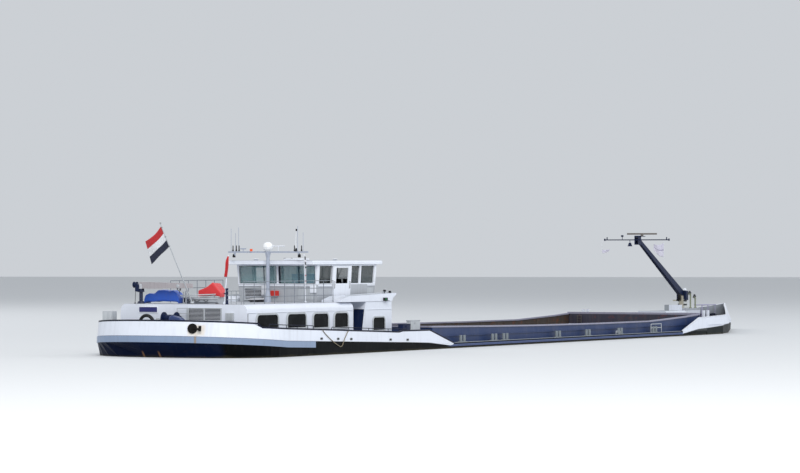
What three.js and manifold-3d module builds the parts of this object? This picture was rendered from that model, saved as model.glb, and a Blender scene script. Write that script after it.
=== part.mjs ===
// A self-propelled river barge, modelled at one tenth of its real size.
// Lengths are millimetres of the model, and so centimetres of the full-size barge.
// +X runs to the bow, +Y to port and +Z up. The origin lies under the middle of the flat bottom.
import * as THREE from 'three';
import { mergeVertices } from 'three/addons/utils/BufferGeometryUtils.js';
import Module from 'manifold-3d';

const wasm = await Module();
wasm.setup();

// Driving dimensions
const LENGTH = 6950;
const BEAM = 1000;
const DRAUGHT = 280;
const HALF = BEAM / 2;
const GAP = 0.3;
const STERN_ROUND = 400;
const FULLNESS = 2.3;
const HOLD_AFT = 1960;
const HOLD_FORE = 5415;
const HOLD_FLOOR = 50;
const SIDE_DECK = DRAUGHT + 27;
const FOREDECK = DRAUGHT + 60;
const TANK_INNER = 433;
const ROOF = DRAUGHT + 250;
const PLATE = 6;

// A station is measured forward from the stern, and a height up from the water.
const at = (station) => station - LENGTH / 2;
const up = (height) => DRAUGHT + height;

// Reads a column of a table at a station, with straight lines between its rows.
function along(table, station, column) {
  const next = table.findIndex((row) => row[0] >= station);
  if (next === -1) return table[table.length - 1][column];
  if (next === 0) return table[0][column];
  const [a, b] = [table[next - 1], table[next]];
  return a[column] + ((b[column] - a[column]) * (station - a[0])) / (b[0] - a[0]);
}

// station, half breadth of the bow at deck level
const BOW_PLAN = [
  [HOLD_FORE, HALF],
  [5550, 498],
  [5650, 490],
  [5750, 477],
  [5850, 455],
  [5950, 418],
  [6050, 374],
  [6200, 311],
  [6400, 227],
  [6600, 143],
  [6800, 60],
  [6900, 24],
  [LENGTH, 9],
];

// Half the breadth at deck level: a full stern, a parallel body and a pointed bow.
function halfBreadth(station) {
  if (station < STERN_ROUND) {
    const left = 1 - station / STERN_ROUND;
    return HALF * Math.pow(1 - Math.pow(left, FULLNESS), 1 / FULLNESS);
  }
  return along(BOW_PLAN, station, 1);
}

const range = (count) => Array.from({ length: count }, (_, i) => i);

// A point of the round stern: share 0 is the centre line, 1 the port side and -1 the starboard side.
function roundPoint(share) {
  const turn = (Math.abs(share) * Math.PI) / 2;
  const power = 2 / FULLNESS;
  const out = HALF * Math.pow(Math.sin(turn), power);
  return [STERN_ROUND * (1 - Math.pow(Math.max(0, Math.cos(turn)), power)), share < 0 ? -out : out];
}

// station, stern deck above the water
const STERN_DECK = [
  [0, 104],
  [STERN_ROUND, 77],
  [1500, 45],
  [1830, 37],
  [HOLD_AFT, 27],
];
const sternDeck = (station) => up(along(STERN_DECK, station, 1));

// station, rail of the stern bulwark above the water, with the step down to the side passage
const STERN_RAIL = [
  [0, 174],
  [207, 160],
  [226, 141],
  [STERN_ROUND, 133],
  [700, 123],
  [1500, 95],
  [1540, 100],
  [1830, 98],
  [2090, 28],
];
const sternRail = (station) => up(along(STERN_RAIL, station, 1));

// station, rail of the bow bulwark above the water
const BOW_SHEER = [
  [5040, 28],
  [5310, 104],
  [5560, 109],
  [5950, 114],
  [6300, 120],
  [6500, 130],
  [6700, 145],
  [6850, 158],
  [LENGTH, 169],
];

// Shape helpers

function fromPoints(points, faces) {
  const geometry = new THREE.BufferGeometry();
  geometry.setAttribute('position', new THREE.Float32BufferAttribute(points.flat(), 3));
  const corner = (i) => new THREE.Vector3(...points[i]);
  let volume = 0;
  for (const [a, b, c] of faces) volume += corner(a).dot(corner(b).cross(corner(c)));
  const outward = volume > 0 ? faces : faces.map(([a, b, c]) => [a, c, b]);
  geometry.setIndex(outward.flat());
  return geometry;
}

// A skin over sections that have the same number of corners, closed by flat ends.
function loft(sections) {
  const count = sections[0].length;
  const faces = [];
  for (let s = 0; s + 1 < sections.length; s++) {
    for (let i = 0; i < count; i++) {
      const j = (i + 1) % count;
      const [a, b, c, d] = [s * count + i, s * count + j, (s + 1) * count + j, (s + 1) * count + i];
      faces.push([a, b, c], [a, c, d]);
    }
  }
  const last = (sections.length - 1) * count;
  for (let i = 1; i + 1 < count; i++) {
    faces.push([0, i + 1, i], [last, last + i, last + i + 1]);
  }
  return fromPoints(sections.flat(), faces);
}

// A block between two limits on each axis, in either order.
function box(x0, x1, y0, y1, z0, z1) {
  const geometry = new THREE.BoxGeometry(Math.abs(x1 - x0), Math.abs(y1 - y0), Math.abs(z1 - z0));
  return geometry.translate((x0 + x1) / 2, (y0 + y1) / 2, (z0 + z1) / 2);
}

function extrude(outline, depth, axes, origin) {
  const shape = new THREE.Shape(outline.map(([u, v]) => new THREE.Vector2(u, v)));
  const geometry = new THREE.ExtrudeGeometry(shape, { depth, bevelEnabled: false });
  geometry.applyMatrix4(new THREE.Matrix4().makeBasis(...axes));
  return geometry.translate(...origin);
}

const X = new THREE.Vector3(1, 0, 0);
const Y = new THREE.Vector3(0, 1, 0);
const Z = new THREE.Vector3(0, 0, 1);
const extrudeX = (outline, x0, x1) => extrude(outline, x1 - x0, [Y, Z, X], [x0, 0, 0]);
const extrudeY = (outline, y0, y1) => extrude(outline, y1 - y0, [X, Z, Y.clone().negate()], [0, y1, 0]);
const extrudeZ = (outline, z0, z1) => extrude(outline, z1 - z0, [X, Y, Z], [0, 0, z0]);

// A round bar from one point to another.
function rod(from, to, radius, sides = 8, endRadius = radius) {
  const a = new THREE.Vector3(...from);
  const b = new THREE.Vector3(...to);
  const geometry = new THREE.CylinderGeometry(endRadius, radius, a.distanceTo(b), sides);
  const turn = new THREE.Quaternion().setFromUnitVectors(Y, b.clone().sub(a).normalize());
  geometry.applyQuaternion(turn);
  const middle = a.add(b).multiplyScalar(0.5);
  return geometry.translate(middle.x, middle.y, middle.z);
}

function ball(centre, radius, width = 10, height = 8) {
  return new THREE.SphereGeometry(radius, width, height).translate(...centre);
}

function toManifold(geometry) {
  const plain = geometry.clone();
  plain.deleteAttribute('normal');
  plain.deleteAttribute('uv');
  const merged = mergeVertices(plain, 1e-4);
  const mesh = new wasm.Mesh({
    numProp: 3,
    vertProperties: new Float32Array(merged.attributes.position.array),
    triVerts: new Uint32Array(merged.index.array),
  });
  return new wasm.Manifold(mesh);
}

function fromManifold(solid) {
  const mesh = solid.getMesh();
  const geometry = new THREE.BufferGeometry();
  geometry.setAttribute('position', new THREE.BufferAttribute(new Float32Array(mesh.vertProperties), 3));
  geometry.setIndex(new THREE.BufferAttribute(new Uint32Array(mesh.triVerts), 1));
  return geometry;
}

const join = (...shapes) => fromManifold(shapes.map(toManifold).reduce((a, b) => a.add(b)));
function cut(body, ...tools) {
  return fromManifold(tools.map(toManifold).reduce((a, b) => a.subtract(b), toManifold(body)));
}
const common = (a, b) => fromManifold(toManifold(a).intersect(toManifold(b)));

// Finishes: colour, roughness, metalness
const WHITE = [0xdde4f2, 0.45, 0.1];
const GREY = [0x9aa0a6, 0.6, 0.2];
const BLACK = [0x15181c, 0.6, 0.1];
const NAVY = [0x14264a, 0.45, 0.2];
const COAMING_BLUE = [0x2e4066, 0.5, 0.2];
const BAND_BLUE = [0x9fb0d0, 0.5, 0.1];
const DARK_GREY = [0x30343a, 0.5, 0.3];
const BRONZE = [0xa07a3c, 0.35, 0.9];
const GLASS = [0x5c8c94, 0.08, 0.0];
const CREAM = [0xd8cfae, 0.5, 0.1];
const BLUE_CLOTH = [0x1c4fb4, 0.8, 0.0];
const RED_CLOTH = [0xd8302c, 0.8, 0.0];
const ROPE = [0x9a917c, 0.9, 0.0];

const barge = new THREE.Group();

function piece(name, geometry, [color, roughness, metalness], parent = barge) {
  const mesh = new THREE.Mesh(geometry, new THREE.MeshStandardMaterial({ color, roughness, metalness }));
  mesh.name = name;
  parent.add(mesh);
  return mesh;
}

// Hull

// Shaft line, propeller and rudders
const SHAFT_Z = 105;
const PROPELLER = { station: 560, radius: 72, hub: 15, face: 14, blades: 4 };
const RUDDER = { station: 400, side: 62, length: 120, height: 170, low: 22 };

// station, underside of the hull in the model's own height
const STERN_RISE = [
  [0, 346],
  [60, 268],
  [250, 248],
  [STERN_ROUND, 230],
  [640, 200],
  [900, 62],
  [1080, 0],
];
// The round of the stern in equal turns from the centre line, then the straight sides
const ROUND_STEPS = 12;
const roundStations = range(ROUND_STEPS).map((i) => roundPoint((i + 1) / ROUND_STEPS)[0]);
const STERN_STATIONS = [...roundStations, 640, 900, 1080, 1500, 1830, HOLD_AFT - GAP];
const UNDERCUT = 45;

// The rubbing band stands proud of the plating round the stern, just under the deck.
const BAND = { height: 31, proud: 2.5, end: 660 };

function sternSection(station) {
  const deckHalf = halfBreadth(station);
  const deck = sternDeck(station);
  const left = Math.max(0, (STERN_ROUND - station) / (STERN_ROUND - UNDERCUT));
  const waterShare = Math.pow(Math.max(0.02, 1 - Math.pow(left, FULLNESS)), 1 / FULLNESS);
  const waterHalf = Math.min(deckHalf - 4, HALF * waterShare);
  const bottom = along(STERN_RISE, station, 1);
  const bandLow = Math.max(deck - BAND.height, bottom + 3);
  const water = Math.max(bottom + 2, Math.min(up(-10), bandLow - 2));
  const flat = waterHalf - Math.min(30, water - bottom);
  const half = [
    [flat, bottom],
    [waterHalf, station < 900 ? water : Math.max(bottom + 30, 30)],
    [deckHalf - 1, bandLow],
    [deckHalf, deck],
  ];
  return mirrored(at(station), half);
}

// A whole section from the points of its port half, listed from the keel up.
function mirrored(x, half) {
  const port = half.map(([y, z]) => [x, y, z]);
  const starboard = half.map(([y, z]) => [x, -y, z]).reverse();
  return [...port, ...starboard];
}

function sternHull() {
  const body = loft(STERN_STATIONS.map(sternSection));
  const shaftEnd = PROPELLER.station + PROPELLER.face + GAP;
  const shaft = rod([at(shaftEnd), 0, SHAFT_Z], [at(960), 0, SHAFT_Z], 12, 10);
  const skeg = extrudeY(
    [
      [at(660), SHAFT_Z - 22],
      [at(660), SHAFT_Z + 22],
      [at(690), 200],
      [at(1080), 60],
      [at(1080), 0.2],
      [at(1010), 0.2],
    ],
    -8,
    8,
  );
  return join(body, shaft, skeg);
}
piece('stern_hull', sternHull(), BLACK);

const BILGE = 28;
const bottomOutline = [
  [-HALF + 4, HOLD_FLOOR],
  [-HALF + 4, BILGE],
  [-HALF + 4 + BILGE, 0],
  [HALF - 4 - BILGE, 0],
  [HALF - 4, BILGE],
  [HALF - 4, HOLD_FLOOR],
];
piece('hold_bottom', extrudeX(bottomOutline, at(HOLD_AFT), at(HOLD_FORE)), DARK_GREY);

// Double bollards on the side deck, by station
const BOLLARD = { radius: 8, height: 38, spread: 40 };
const BOW_BOLLARD = { radius: 10, height: 86, spread: 64 };
const SIDE_BOLLARDS = [2240, 2606, 2738, 3387, 3773, 4205, 4690];

function bollard(station, y, deck, { radius, height, spread } = BOLLARD) {
  const x = at(station);
  const [half, base] = [spread / 2, radius + 3];
  const plate = box(x - half - base, x + half + base, y - base, y + base, deck - 1, deck + 5);
  const posts = [-half, half].map((dx) => rod([x + dx, y, deck], [x + dx, y, deck + height], radius, 10));
  return [plate, ...posts];
}

const FLOOR_TOP = HOLD_FLOOR + GAP;
const RUB_RAIL = 9;
for (const [name, side] of [['port', 1], ['starboard', -1]]) {
  const outline = [
    [TANK_INNER, FLOOR_TOP],
    [HALF - 4, FLOOR_TOP],
    [HALF - 4, SIDE_DECK - RUB_RAIL - 4],
    [HALF, SIDE_DECK - RUB_RAIL],
    [HALF, SIDE_DECK],
    [TANK_INNER, SIDE_DECK],
  ].map(([y, z]) => [side * y, z]);
  const tank = extrudeX(outline, at(HOLD_AFT), at(HOLD_FORE));
  const bollards = SIDE_BOLLARDS.flatMap((station) => bollard(station, side * 474, SIDE_DECK));
  piece(`side_tank_${name}`, join(tank, ...bollards), BLACK);
}

// Bow: station, bottom, half breadth there and half breadth at the water, as shares of the deck's
const BOW_LINES = [
  [HOLD_FORE + GAP, 0, 0.93, 0.992],
  [5700, 0, 0.92, 0.985],
  [6050, 0, 0.88, 0.97],
  [6350, 8, 0.8, 0.95],
  [6600, 34, 0.68, 0.92],
  [6800, 90, 0.5, 0.86],
  [6900, 165, 0.35, 0.78],
  [6942, 250, 0.3, 0.6],
];

function bowHull() {
  const sections = BOW_LINES.map(([station, bottom, low, water]) => {
    const deckHalf = halfBreadth(station);
    return mirrored(at(station), [
      [deckHalf * low, bottom],
      [deckHalf * water, Math.max(bottom + 20, station < 6300 ? 40 : up(-60))],
      [deckHalf - 0.5, FOREDECK - 6],
      [deckHalf, FOREDECK],
    ]);
  });
  const bollards = [1, -1].flatMap((side) => [
    ...bollard(5600, side * 410, FOREDECK, BOW_BOLLARD),
    ...bollard(6480, side * 150, FOREDECK),
  ]);
  return join(loft(sections), ...bollards);
}
piece('bow_hull', bowHull(), DARK_GREY);

// Bulwarks: a plate inside an outline, from the deck to the rail, which can lean in and back.
// The outline's first and last points only give the direction at the plate's two ends.
function plateAlong(outline, low, high, { tumble = () => 0, back = () => 0, outer = 0, thick = PLATE } = {}) {
  const sections = outline.slice(1, -1).map(([station, y], i) => {
    const before = outline[i];
    const after = outline[i + 2];
    const run = new THREE.Vector2(after[0] - before[0], after[1] - before[1]).normalize();
    const inward = [-run.y, run.x];
    const point = (depth, z) => [at(station) + inward[0] * depth, y + inward[1] * depth, z];
    const [z0, z1] = [low(station), high(station)];
    const inner = outer + thick;
    const lean = tumble(station);
    const railPoint = (depth) => {
      const [x, railY, z] = point(lean + depth, z1);
      return [x - back(station), railY, z];
    };
    return [point(outer, z0), railPoint(outer), railPoint(inner), point(inner, z0)];
  });
  return loft(sections);
}

function sternOutline() {
  return range(2 * ROUND_STEPS + 3).map((i) => roundPoint((ROUND_STEPS + 1 - i) / ROUND_STEPS));
}

// The bulwark's outline has one more point on either quarter, where the rail steps down.
const RAIL_STEP = { facet: 8, share: 0.56 };
function bulwarkOutline() {
  const outline = sternOutline();
  const middle = ROUND_STEPS + 1;
  for (const way of [1, -1]) {
    const [a, b] = [outline[middle - way * RAIL_STEP.facet], outline[middle - way * (RAIL_STEP.facet + 1)]];
    const step = a.map((value, k) => value + (b[k] - value) * RAIL_STEP.share);
    outline.splice(outline.indexOf(way > 0 ? a : b), 0, step);
  }
  return outline;
}

const onSternDeck = (station) => sternDeck(station) + GAP;
const STERN_TUMBLE = 9;
const sternLean = (station) => STERN_TUMBLE * Math.max(0, 1 - Math.pow(station / STERN_ROUND, 2));
const sternPlate = plateAlong(bulwarkOutline(), onSternDeck, sternRail, { tumble: sternLean });
piece('stern_bulwark', sternPlate, WHITE);

const SIDE_STATIONS = [STERN_ROUND, STERN_ROUND + GAP, 700, 1100, 1500, 1540, 1830, HOLD_AFT, 2090, 2100];
for (const [name, side] of [['port', 1], ['starboard', -1]]) {
  let outline = SIDE_STATIONS.map((station) => [station, side * HALF]);
  if (side > 0) outline = outline.reverse();
  piece(`side_bulwark_${name}`, plateAlong(outline, onSternDeck, sternRail), WHITE);
}

const BOW_STATIONS = [
  ...[5030, 5040, 5310, HOLD_FORE - 1, HOLD_FORE, 5550, 5650, 5750, 5850, 5950, 6200, 6400, 6600, 6700],
  ...[6800, 6880, LENGTH, LENGTH + 10],
];
// station, how far the bow plating leans in
const BOW_TUMBLE = [
  [5040, 0.2],
  [HOLD_FORE, 8],
  [5700, 15],
  [6500, 17],
  [6800, 8],
  [LENGTH, 2],
];
// station, how far the bow rail lies back from the foot of its plating
const BOW_RAKE = [
  [6300, 0],
  [6500, 8],
  [6700, 34],
  [6850, 68],
  [LENGTH, 96],
];
const bowLean = (station) => along(BOW_TUMBLE, station, 1);
const bowRake = (station) => along(BOW_RAKE, station, 1);
const onBowDeck = (station) => (station < HOLD_FORE ? SIDE_DECK : FOREDECK) + GAP;
const bowRail = (station) => Math.max(up(along(BOW_SHEER, station, 1)), onBowDeck(station) + 1);
for (const [name, side] of [['port', 1], ['starboard', -1]]) {
  let outline = BOW_STATIONS.map((station) => [station, side * halfBreadth(station)]);
  if (side > 0) outline = outline.reverse();
  const plate = plateAlong(outline, onBowDeck, bowRail, { tumble: bowLean, back: bowRake });
  piece(`bow_bulwark_${name}`, plate, WHITE);
}

function sternBand() {
  const ends = (side) => [
    [BAND.end + 10, side * HALF],
    [BAND.end, side * HALF],
  ];
  const outline = [...ends(1), ...sternOutline().slice(1, -1), ...ends(-1).reverse()];
  const low = (station) => sternDeck(station) - BAND.height;
  const high = (station) => sternDeck(station) - 1;
  return plateAlong(outline, low, high, { outer: -BAND.proud, thick: BAND.proud - GAP });
}
piece('stern_band', sternBand(), BAND_BLUE);

// Coamings
const COAMING = { inner: 436, plate: 6, top: up(98), flange: 18, height: 8, stiff: up(60) };
// The side coamings have a sheer. station, rise of the top over its lowest part
const COAMING_RISE = [
  [HOLD_AFT, 20],
  [2250, 16],
  [2600, 11],
  [3200, 4],
  [4000, 0],
  [4700, 0],
  [5195, 17],
  [HOLD_FORE, 28],
];
function raised(geometry) {
  const points = geometry.getAttribute('position');
  for (const i of range(points.count)) {
    if (points.getZ(i) < COAMING.stiff + 5) continue;
    points.setZ(i, points.getZ(i) + along(COAMING_RISE, points.getX(i) + at(LENGTH), 1));
  }
  return geometry;
}
for (const [name, side] of [['port', 1], ['starboard', -1]]) {
  const { inner, plate, top, flange, height, stiff } = COAMING;
  const outline = [
    [inner, SIDE_DECK + GAP],
    [inner + plate, SIDE_DECK + GAP],
    [inner + plate, stiff],
    [inner + plate + 6, stiff],
    [inner + plate + 6, stiff + 4],
    [inner + plate, stiff + 4],
    [inner + plate, top - height],
    [inner - 6 + flange, top - height],
    [inner - 6 + flange, top],
    [inner - 6, top],
    [inner - 6, top - height],
    [inner, top - height],
  ].map(([y, z]) => [side * y, z]);
  const lengths = COAMING_RISE.slice(1).map(([fore], i) => {
    return raised(extrudeX(outline, at(COAMING_RISE[i][0]), at(fore)));
  });
  piece(`coaming_${name}`, join(...lengths), COAMING_BLUE);
}

const COAMING_OUTER = COAMING.inner - 6 + COAMING.flange;
for (const [name, station, side, deck, top] of [
  ['coaming_aft', HOLD_AFT, -1, sternDeck(HOLD_AFT - PLATE - 1), up(118)],
  ['coaming_forward', HOLD_FORE, 1, FOREDECK, up(132)],
]) {
  const near = at(station) + side * GAP;
  const far = near + side * PLATE;
  const lip = near + side * 14;
  const wall = box(near, far, -COAMING_OUTER, COAMING_OUTER, deck + GAP, top);
  const cap = box(near, lip, -COAMING_OUTER, COAMING_OUTER, top - COAMING.height, top);
  piece(name, join(wall, cap), COAMING_BLUE);
}

// Propeller and rudders

function propeller() {
  const { radius, hub, face, blades } = PROPELLER;
  const profile = [
    [0, -26],
    [hub * 0.6, -22],
    [hub, -8],
    [hub, face],
    [0, face],
  ].map(([r, z]) => new THREE.Vector2(r, z));
  const boss = new THREE.LatheGeometry(profile, 16);
  const shapes = [boss];
  for (const i of range(blades)) {
    const blade = new THREE.Shape();
    blade.moveTo(-8, 8);
    blade.quadraticCurveTo(-34, radius * 0.7, -8, radius);
    blade.quadraticCurveTo(26, radius * 0.95, 26, radius * 0.6);
    blade.quadraticCurveTo(22, radius * 0.3, 8, 8);
    const plate = new THREE.ExtrudeGeometry(blade, { depth: 4, bevelEnabled: false, curveSegments: 5 });
    plate.translate(0, 0, -2);
    plate.rotateY(0.6);
    plate.rotateX(Math.PI / 2);
    plate.rotateY((2 * Math.PI * i) / blades);
    shapes.push(plate);
  }
  return join(...shapes).rotateZ(-Math.PI / 2);
}
const screw = piece('propeller', propeller(), BRONZE);
screw.position.set(at(PROPELLER.station), 0, SHAFT_Z);

for (const [name, side] of [['rudder_port', 1], ['rudder_starboard', -1]]) {
  const { length, height, low } = RUDDER;
  const fore = length * 0.22;
  const blade = extrudeZ(
    [
      [fore, 0],
      [fore * 0.6, 6],
      [-length * 0.2, 7],
      [fore - length, 1],
      [fore - length, -1],
      [-length * 0.2, -7],
      [fore * 0.6, -6],
    ],
    low,
    low + height,
  );
  const stockTop = along(STERN_RISE, RUDDER.station + 5, 1) - GAP;
  const stock = rod([0, 0, low + height - 10], [0, 0, stockTop], 5, 8);
  const rudder = piece(name, join(blade, stock), DARK_GREY);
  rudder.position.set(at(RUDDER.station), side * RUDDER.side, 0);
}

// Houses

const HOUSE = { aft: 260, fore: 1281, half: 358, shoulder: 32 };
const LOBBY_HALF = 250;
const FRONT = { foot: 1366, head: 1408, fore: 1680 };
const DECK_STATIONS = STERN_DECK.map(([station]) => station);

// The side outline of a block that stands on the sloping stern deck.
function standing(from, to, top) {
  const inside = DECK_STATIONS.filter((s) => s > from && s < to);
  const foot = [from, ...inside, to].map((s) => [at(s), sternDeck(s) + GAP]);
  return [...foot, [at(to), top], [at(from), top]];
}

// A section across the barge with rounded upper corners.
function shouldered(half, bottom, top, radius) {
  const shape = new THREE.Shape();
  shape.moveTo(-half, bottom);
  shape.lineTo(half, bottom);
  shape.lineTo(half, top - radius);
  shape.absarc(half - radius, top - radius, radius, 0, Math.PI / 2, false);
  shape.lineTo(radius - half, top);
  shape.absarc(radius - half, top - radius, radius, Math.PI / 2, Math.PI, false);
  return shape.getPoints(5).map((p) => [p.x, p.y]);
}

function aftHouse() {
  const block = extrudeY(standing(HOUSE.aft, HOUSE.fore, ROOF), -HOUSE.half, HOUSE.half);
  const round = extrudeX(shouldered(HOUSE.half, up(0), ROOF, HOUSE.shoulder), at(HOUSE.aft), at(HOUSE.fore));
  return common(block, round);
}
piece('aft_house', aftHouse(), WHITE);

const DOOR = { width: 66, height: 168, thick: 5, fore: 1354 };
const NICHE = 60;

function frontHouse() {
  const top = ROOF - GAP;
  const lobby = extrudeY(standing(HOUSE.fore + GAP, FRONT.head, top), -LOBBY_HALF, LOBBY_HALF);
  const side = standing(FRONT.foot, FRONT.fore, top);
  side[side.length - 1][0] = at(FRONT.head);
  const block = extrudeY(side, -HOUSE.half, HOUSE.half);
  const foot = sternDeck(DOOR.fore) + 6;
  const niches = [1, -1].map((side) => {
    const fore = at(DOOR.fore - 4);
    const [inner, outer] = [side * (LOBBY_HALF - NICHE), side * (LOBBY_HALF + 1)];
    return box(fore - DOOR.width + 8, fore, inner, outer, foot, foot + DOOR.height - 6);
  });
  return cut(join(lobby, block), ...niches);
}
piece('front_house', frontHouse(), WHITE);

// Entrance doors, hinged at their forward edge
for (const [name, side] of [['entrance_door_port', 1], ['entrance_door_starboard', -1]]) {
  const leaf = box(-DOOR.width, 0, -DOOR.thick / 2, DOOR.thick / 2, 0, DOOR.height);
  const handle = box(-DOOR.width + 6, -DOOR.width + 10, 0, side * 5, 80, 92);
  const door = piece(name, join(leaf, handle), NAVY);
  door.position.set(at(DOOR.fore), side * (LOBBY_HALF + GAP + DOOR.thick / 2), sternDeck(DOOR.fore - 60) + 4);
}

// Raised wings over the front house, with the eyebrow that overhangs the hold
const WING = { inner: 250, outer: 361, aft: 1150, fore: 1724 };
for (const [name, side] of [['front_wing_port', 1], ['front_wing_starboard', -1]]) {
  const outline = [
    [WING.aft, 250 + GAP],
    [WING.aft, 261],
    [1228, 278],
    [1600, 288],
    [WING.fore, 291],
    [WING.fore, 283],
    [FRONT.fore + 12, 268],
    [FRONT.fore, 250 + GAP],
  ].map(([station, height]) => [at(station), up(height)]);
  const ends = side > 0 ? [WING.inner, WING.outer] : [-WING.outer, -WING.inner];
  piece(name, extrudeY(outline, ...ends), WHITE);
}

// Wheelhouse: walls that lean out a little, with cut windows
const CABIN = {
  ...{ aft: 1145, fore: 1730, half: 225, lean: 11, wall: 8 },
  ...{ sill: up(342), head: up(431), top: up(437) },
};
const LEAN = Math.atan(CABIN.lean / (CABIN.top - ROOF));
const WALL_FOOT = ROOF + 2 * GAP;

// A wall stands on the X axis and leans outwards, towards -Y. Its ends slope by their own amounts.
function wall(from, to, slopeFrom, slopeTo, openings) {
  const height = CABIN.top - WALL_FOOT;
  const outline = [
    [from, 0],
    [to, 0],
    [to + slopeTo, height],
    [from - slopeFrom, height],
  ];
  const windows = openings.map(([u0, u1, v0, v1]) => box(u0, u1, -1, CABIN.wall + 1, v0, v1));
  return cut(extrudeY(outline, 0, CABIN.wall), ...windows).rotateX(LEAN);
}

const SILL = CABIN.sill - WALL_FOOT;
const HEAD = CABIN.head - WALL_FOOT;
const SLIDE_DOOR = { from: 1290, to: 1472, foot: 6, head: HEAD - 4 };
const sideLength = CABIN.fore - CABIN.aft;
const inset = CABIN.wall + 1;
// from, to, bottom and top of each opening in a side wall, counted from its after end
const SIDE_OPENINGS = [
  [11, 141, SILL, HEAD],
  [SLIDE_DOOR.from - CABIN.aft + 6, SLIDE_DOOR.to - CABIN.aft - 6, SLIDE_DOOR.foot, SLIDE_DOOR.head],
  [338, 424, SILL, HEAD],
  [438, 575, SILL, HEAD],
];
const END_OPENINGS = [
  [-222, -3, SILL, HEAD],
  [12, 222, SILL, HEAD],
];

const starboardWall = wall(inset, sideLength - inset, CABIN.lean, CABIN.lean, SIDE_OPENINGS);
const sidePlaces = [
  ['wheelhouse_wall_starboard', 1],
  ['wheelhouse_wall_port', -1],
];
for (const [name, side] of sidePlaces) {
  const shape = side > 0 ? starboardWall : mirrorY(starboardWall);
  const place = piece(name, shape, WHITE);
  place.position.set(at(CABIN.aft), -side * CABIN.half, WALL_FOOT);
}

function mirrorY(geometry) {
  const flipped = toManifold(geometry).mirror([0, 1, 0]);
  return fromManifold(flipped);
}

const endWall = wall(-CABIN.half, CABIN.half, CABIN.lean, CABIN.lean, END_OPENINGS);
const aftWall = piece('wheelhouse_wall_aft', endWall, WHITE);
aftWall.position.set(at(CABIN.aft), 0, WALL_FOOT);
aftWall.rotation.z = -Math.PI / 2;
const foreWall = piece('wheelhouse_wall_forward', endWall.clone(), WHITE);
foreWall.position.set(at(CABIN.fore), 0, WALL_FOOT);
foreWall.rotation.z = Math.PI / 2;

const insideHalf = CABIN.half - CABIN.wall - 2;
const FLOOR = { low: ROOF + GAP, high: ROOF + 7 };
piece(
  'wheelhouse_floor',
  box(at(CABIN.aft) + 10, at(CABIN.fore) - 10, -insideHalf, insideHalf, FLOOR.low, FLOOR.high),
  DARK_GREY,
);

// Glazing: one pane band inside the walls, open at both doorways
const PANE = 2;
function glazing() {
  const lean = (z) => ((z - WALL_FOOT) * CABIN.lean) / (CABIN.top - WALL_FOOT);
  const ring = (grow, z) => {
    const spread = lean(z) - CABIN.wall - 0.6 - grow;
    const [x0, x1] = [at(CABIN.aft) - spread, at(CABIN.fore) + spread];
    const y = CABIN.half + spread;
    return [
      [x0, -y, z],
      [x1, -y, z],
      [x1, y, z],
      [x0, y, z],
    ];
  };
  const [low, high] = [CABIN.sill - 6, CABIN.top - GAP];
  const outer = loft([ring(0, low), ring(0, high)]);
  const inner = loft([ring(PANE, low - 1), ring(PANE, high + 1)]);
  const [aft, fore] = [at(SLIDE_DOOR.from + 6), at(SLIDE_DOOR.to - 6)];
  const doorway = box(aft, fore, -300, 300, low - 2, WALL_FOOT + SLIDE_DOOR.head);
  return cut(outer, inner, doorway);
}
piece('wheelhouse_glazing', glazing(), GLASS);

// Sliding doors hang outside the walls and run forward.
const LEAF = 4;
for (const [name, side] of [['sliding_door_starboard', 1], ['sliding_door_port', -1]]) {
  const width = SLIDE_DOOR.to - SLIDE_DOOR.from;
  const leaf = box(0, width, 0, LEAF, 4, SLIDE_DOOR.head + 3);
  const light = box(30, width - 30, -1, LEAF + 1, SILL, HEAD - 10);
  const frame = cut(leaf, light).rotateX(LEAN);
  const door = piece(name, side > 0 ? frame : mirrorY(frame), WHITE);
  door.position.set(at(SLIDE_DOOR.from), -side * (CABIN.half + LEAF + 1), WALL_FOOT);
}

const CABIN_ROOF = { aft: 1069, fore: 1783, half: 246, low: CABIN.top + GAP, high: up(458) };
function cabinRoof() {
  const { aft, fore, half, low, high } = CABIN_ROOF;
  const slab = box(at(aft), at(fore), -half, half, low, high);
  const crown = shouldered(half, low - 1, high, 9);
  return common(slab, extrudeX(crown, at(aft), at(fore)));
}
piece('wheelhouse_roof', cabinRoof(), WHITE);

// Steering stand and seat
const stand = [
  box(at(1640), at(1700), -120, 120, FLOOR.high + GAP, FLOOR.high + 78),
  box(at(1600), at(1660), -60, 60, FLOOR.high + GAP, FLOOR.high + 62),
];
piece('helm_console', join(...stand), DARK_GREY);

const seat = [
  rod([at(1540), 0, FLOOR.high + GAP], [at(1540), 0, FLOOR.high + 42], 6, 8),
  rod([at(1540), 0, FLOOR.high + GAP], [at(1540), 0, FLOOR.high + 4], 22, 10),
  box(at(1515), at(1567), -26, 26, FLOOR.high + 40, FLOOR.high + 52),
  box(at(1509), at(1519), -24, 24, FLOOR.high + 44, FLOOR.high + 112),
];
piece('helm_seat', join(...seat), BLACK);

// Railings

// Posts with three rails in one upright plane along the barge
function railing(from, to, y, foot, height, bays, radius = 2) {
  const levels = [height, height * 0.66, height * 0.33];
  const posts = range(bays + 1).map((i) => {
    const x = at(from + ((to - from) * i) / bays);
    return rod([x, y, foot], [x, y, foot + height + 1], radius, 6);
  });
  const [aft, fore] = [at(from) - 1, at(to) + 1];
  const rails = levels.map((z) => rod([aft, y, foot + z], [fore, y, foot + z], radius * 0.8, 6));
  return join(...posts, ...rails);
}
const RAIL = { y: 322, foot: ROOF + GAP, height: 108 };
piece('roof_railing_starboard', railing(290, 1140, -RAIL.y, RAIL.foot, RAIL.height, 9), GREY);
piece('roof_railing_port', railing(650, 1140, RAIL.y, RAIL.foot, RAIL.height, 6), GREY);

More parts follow.
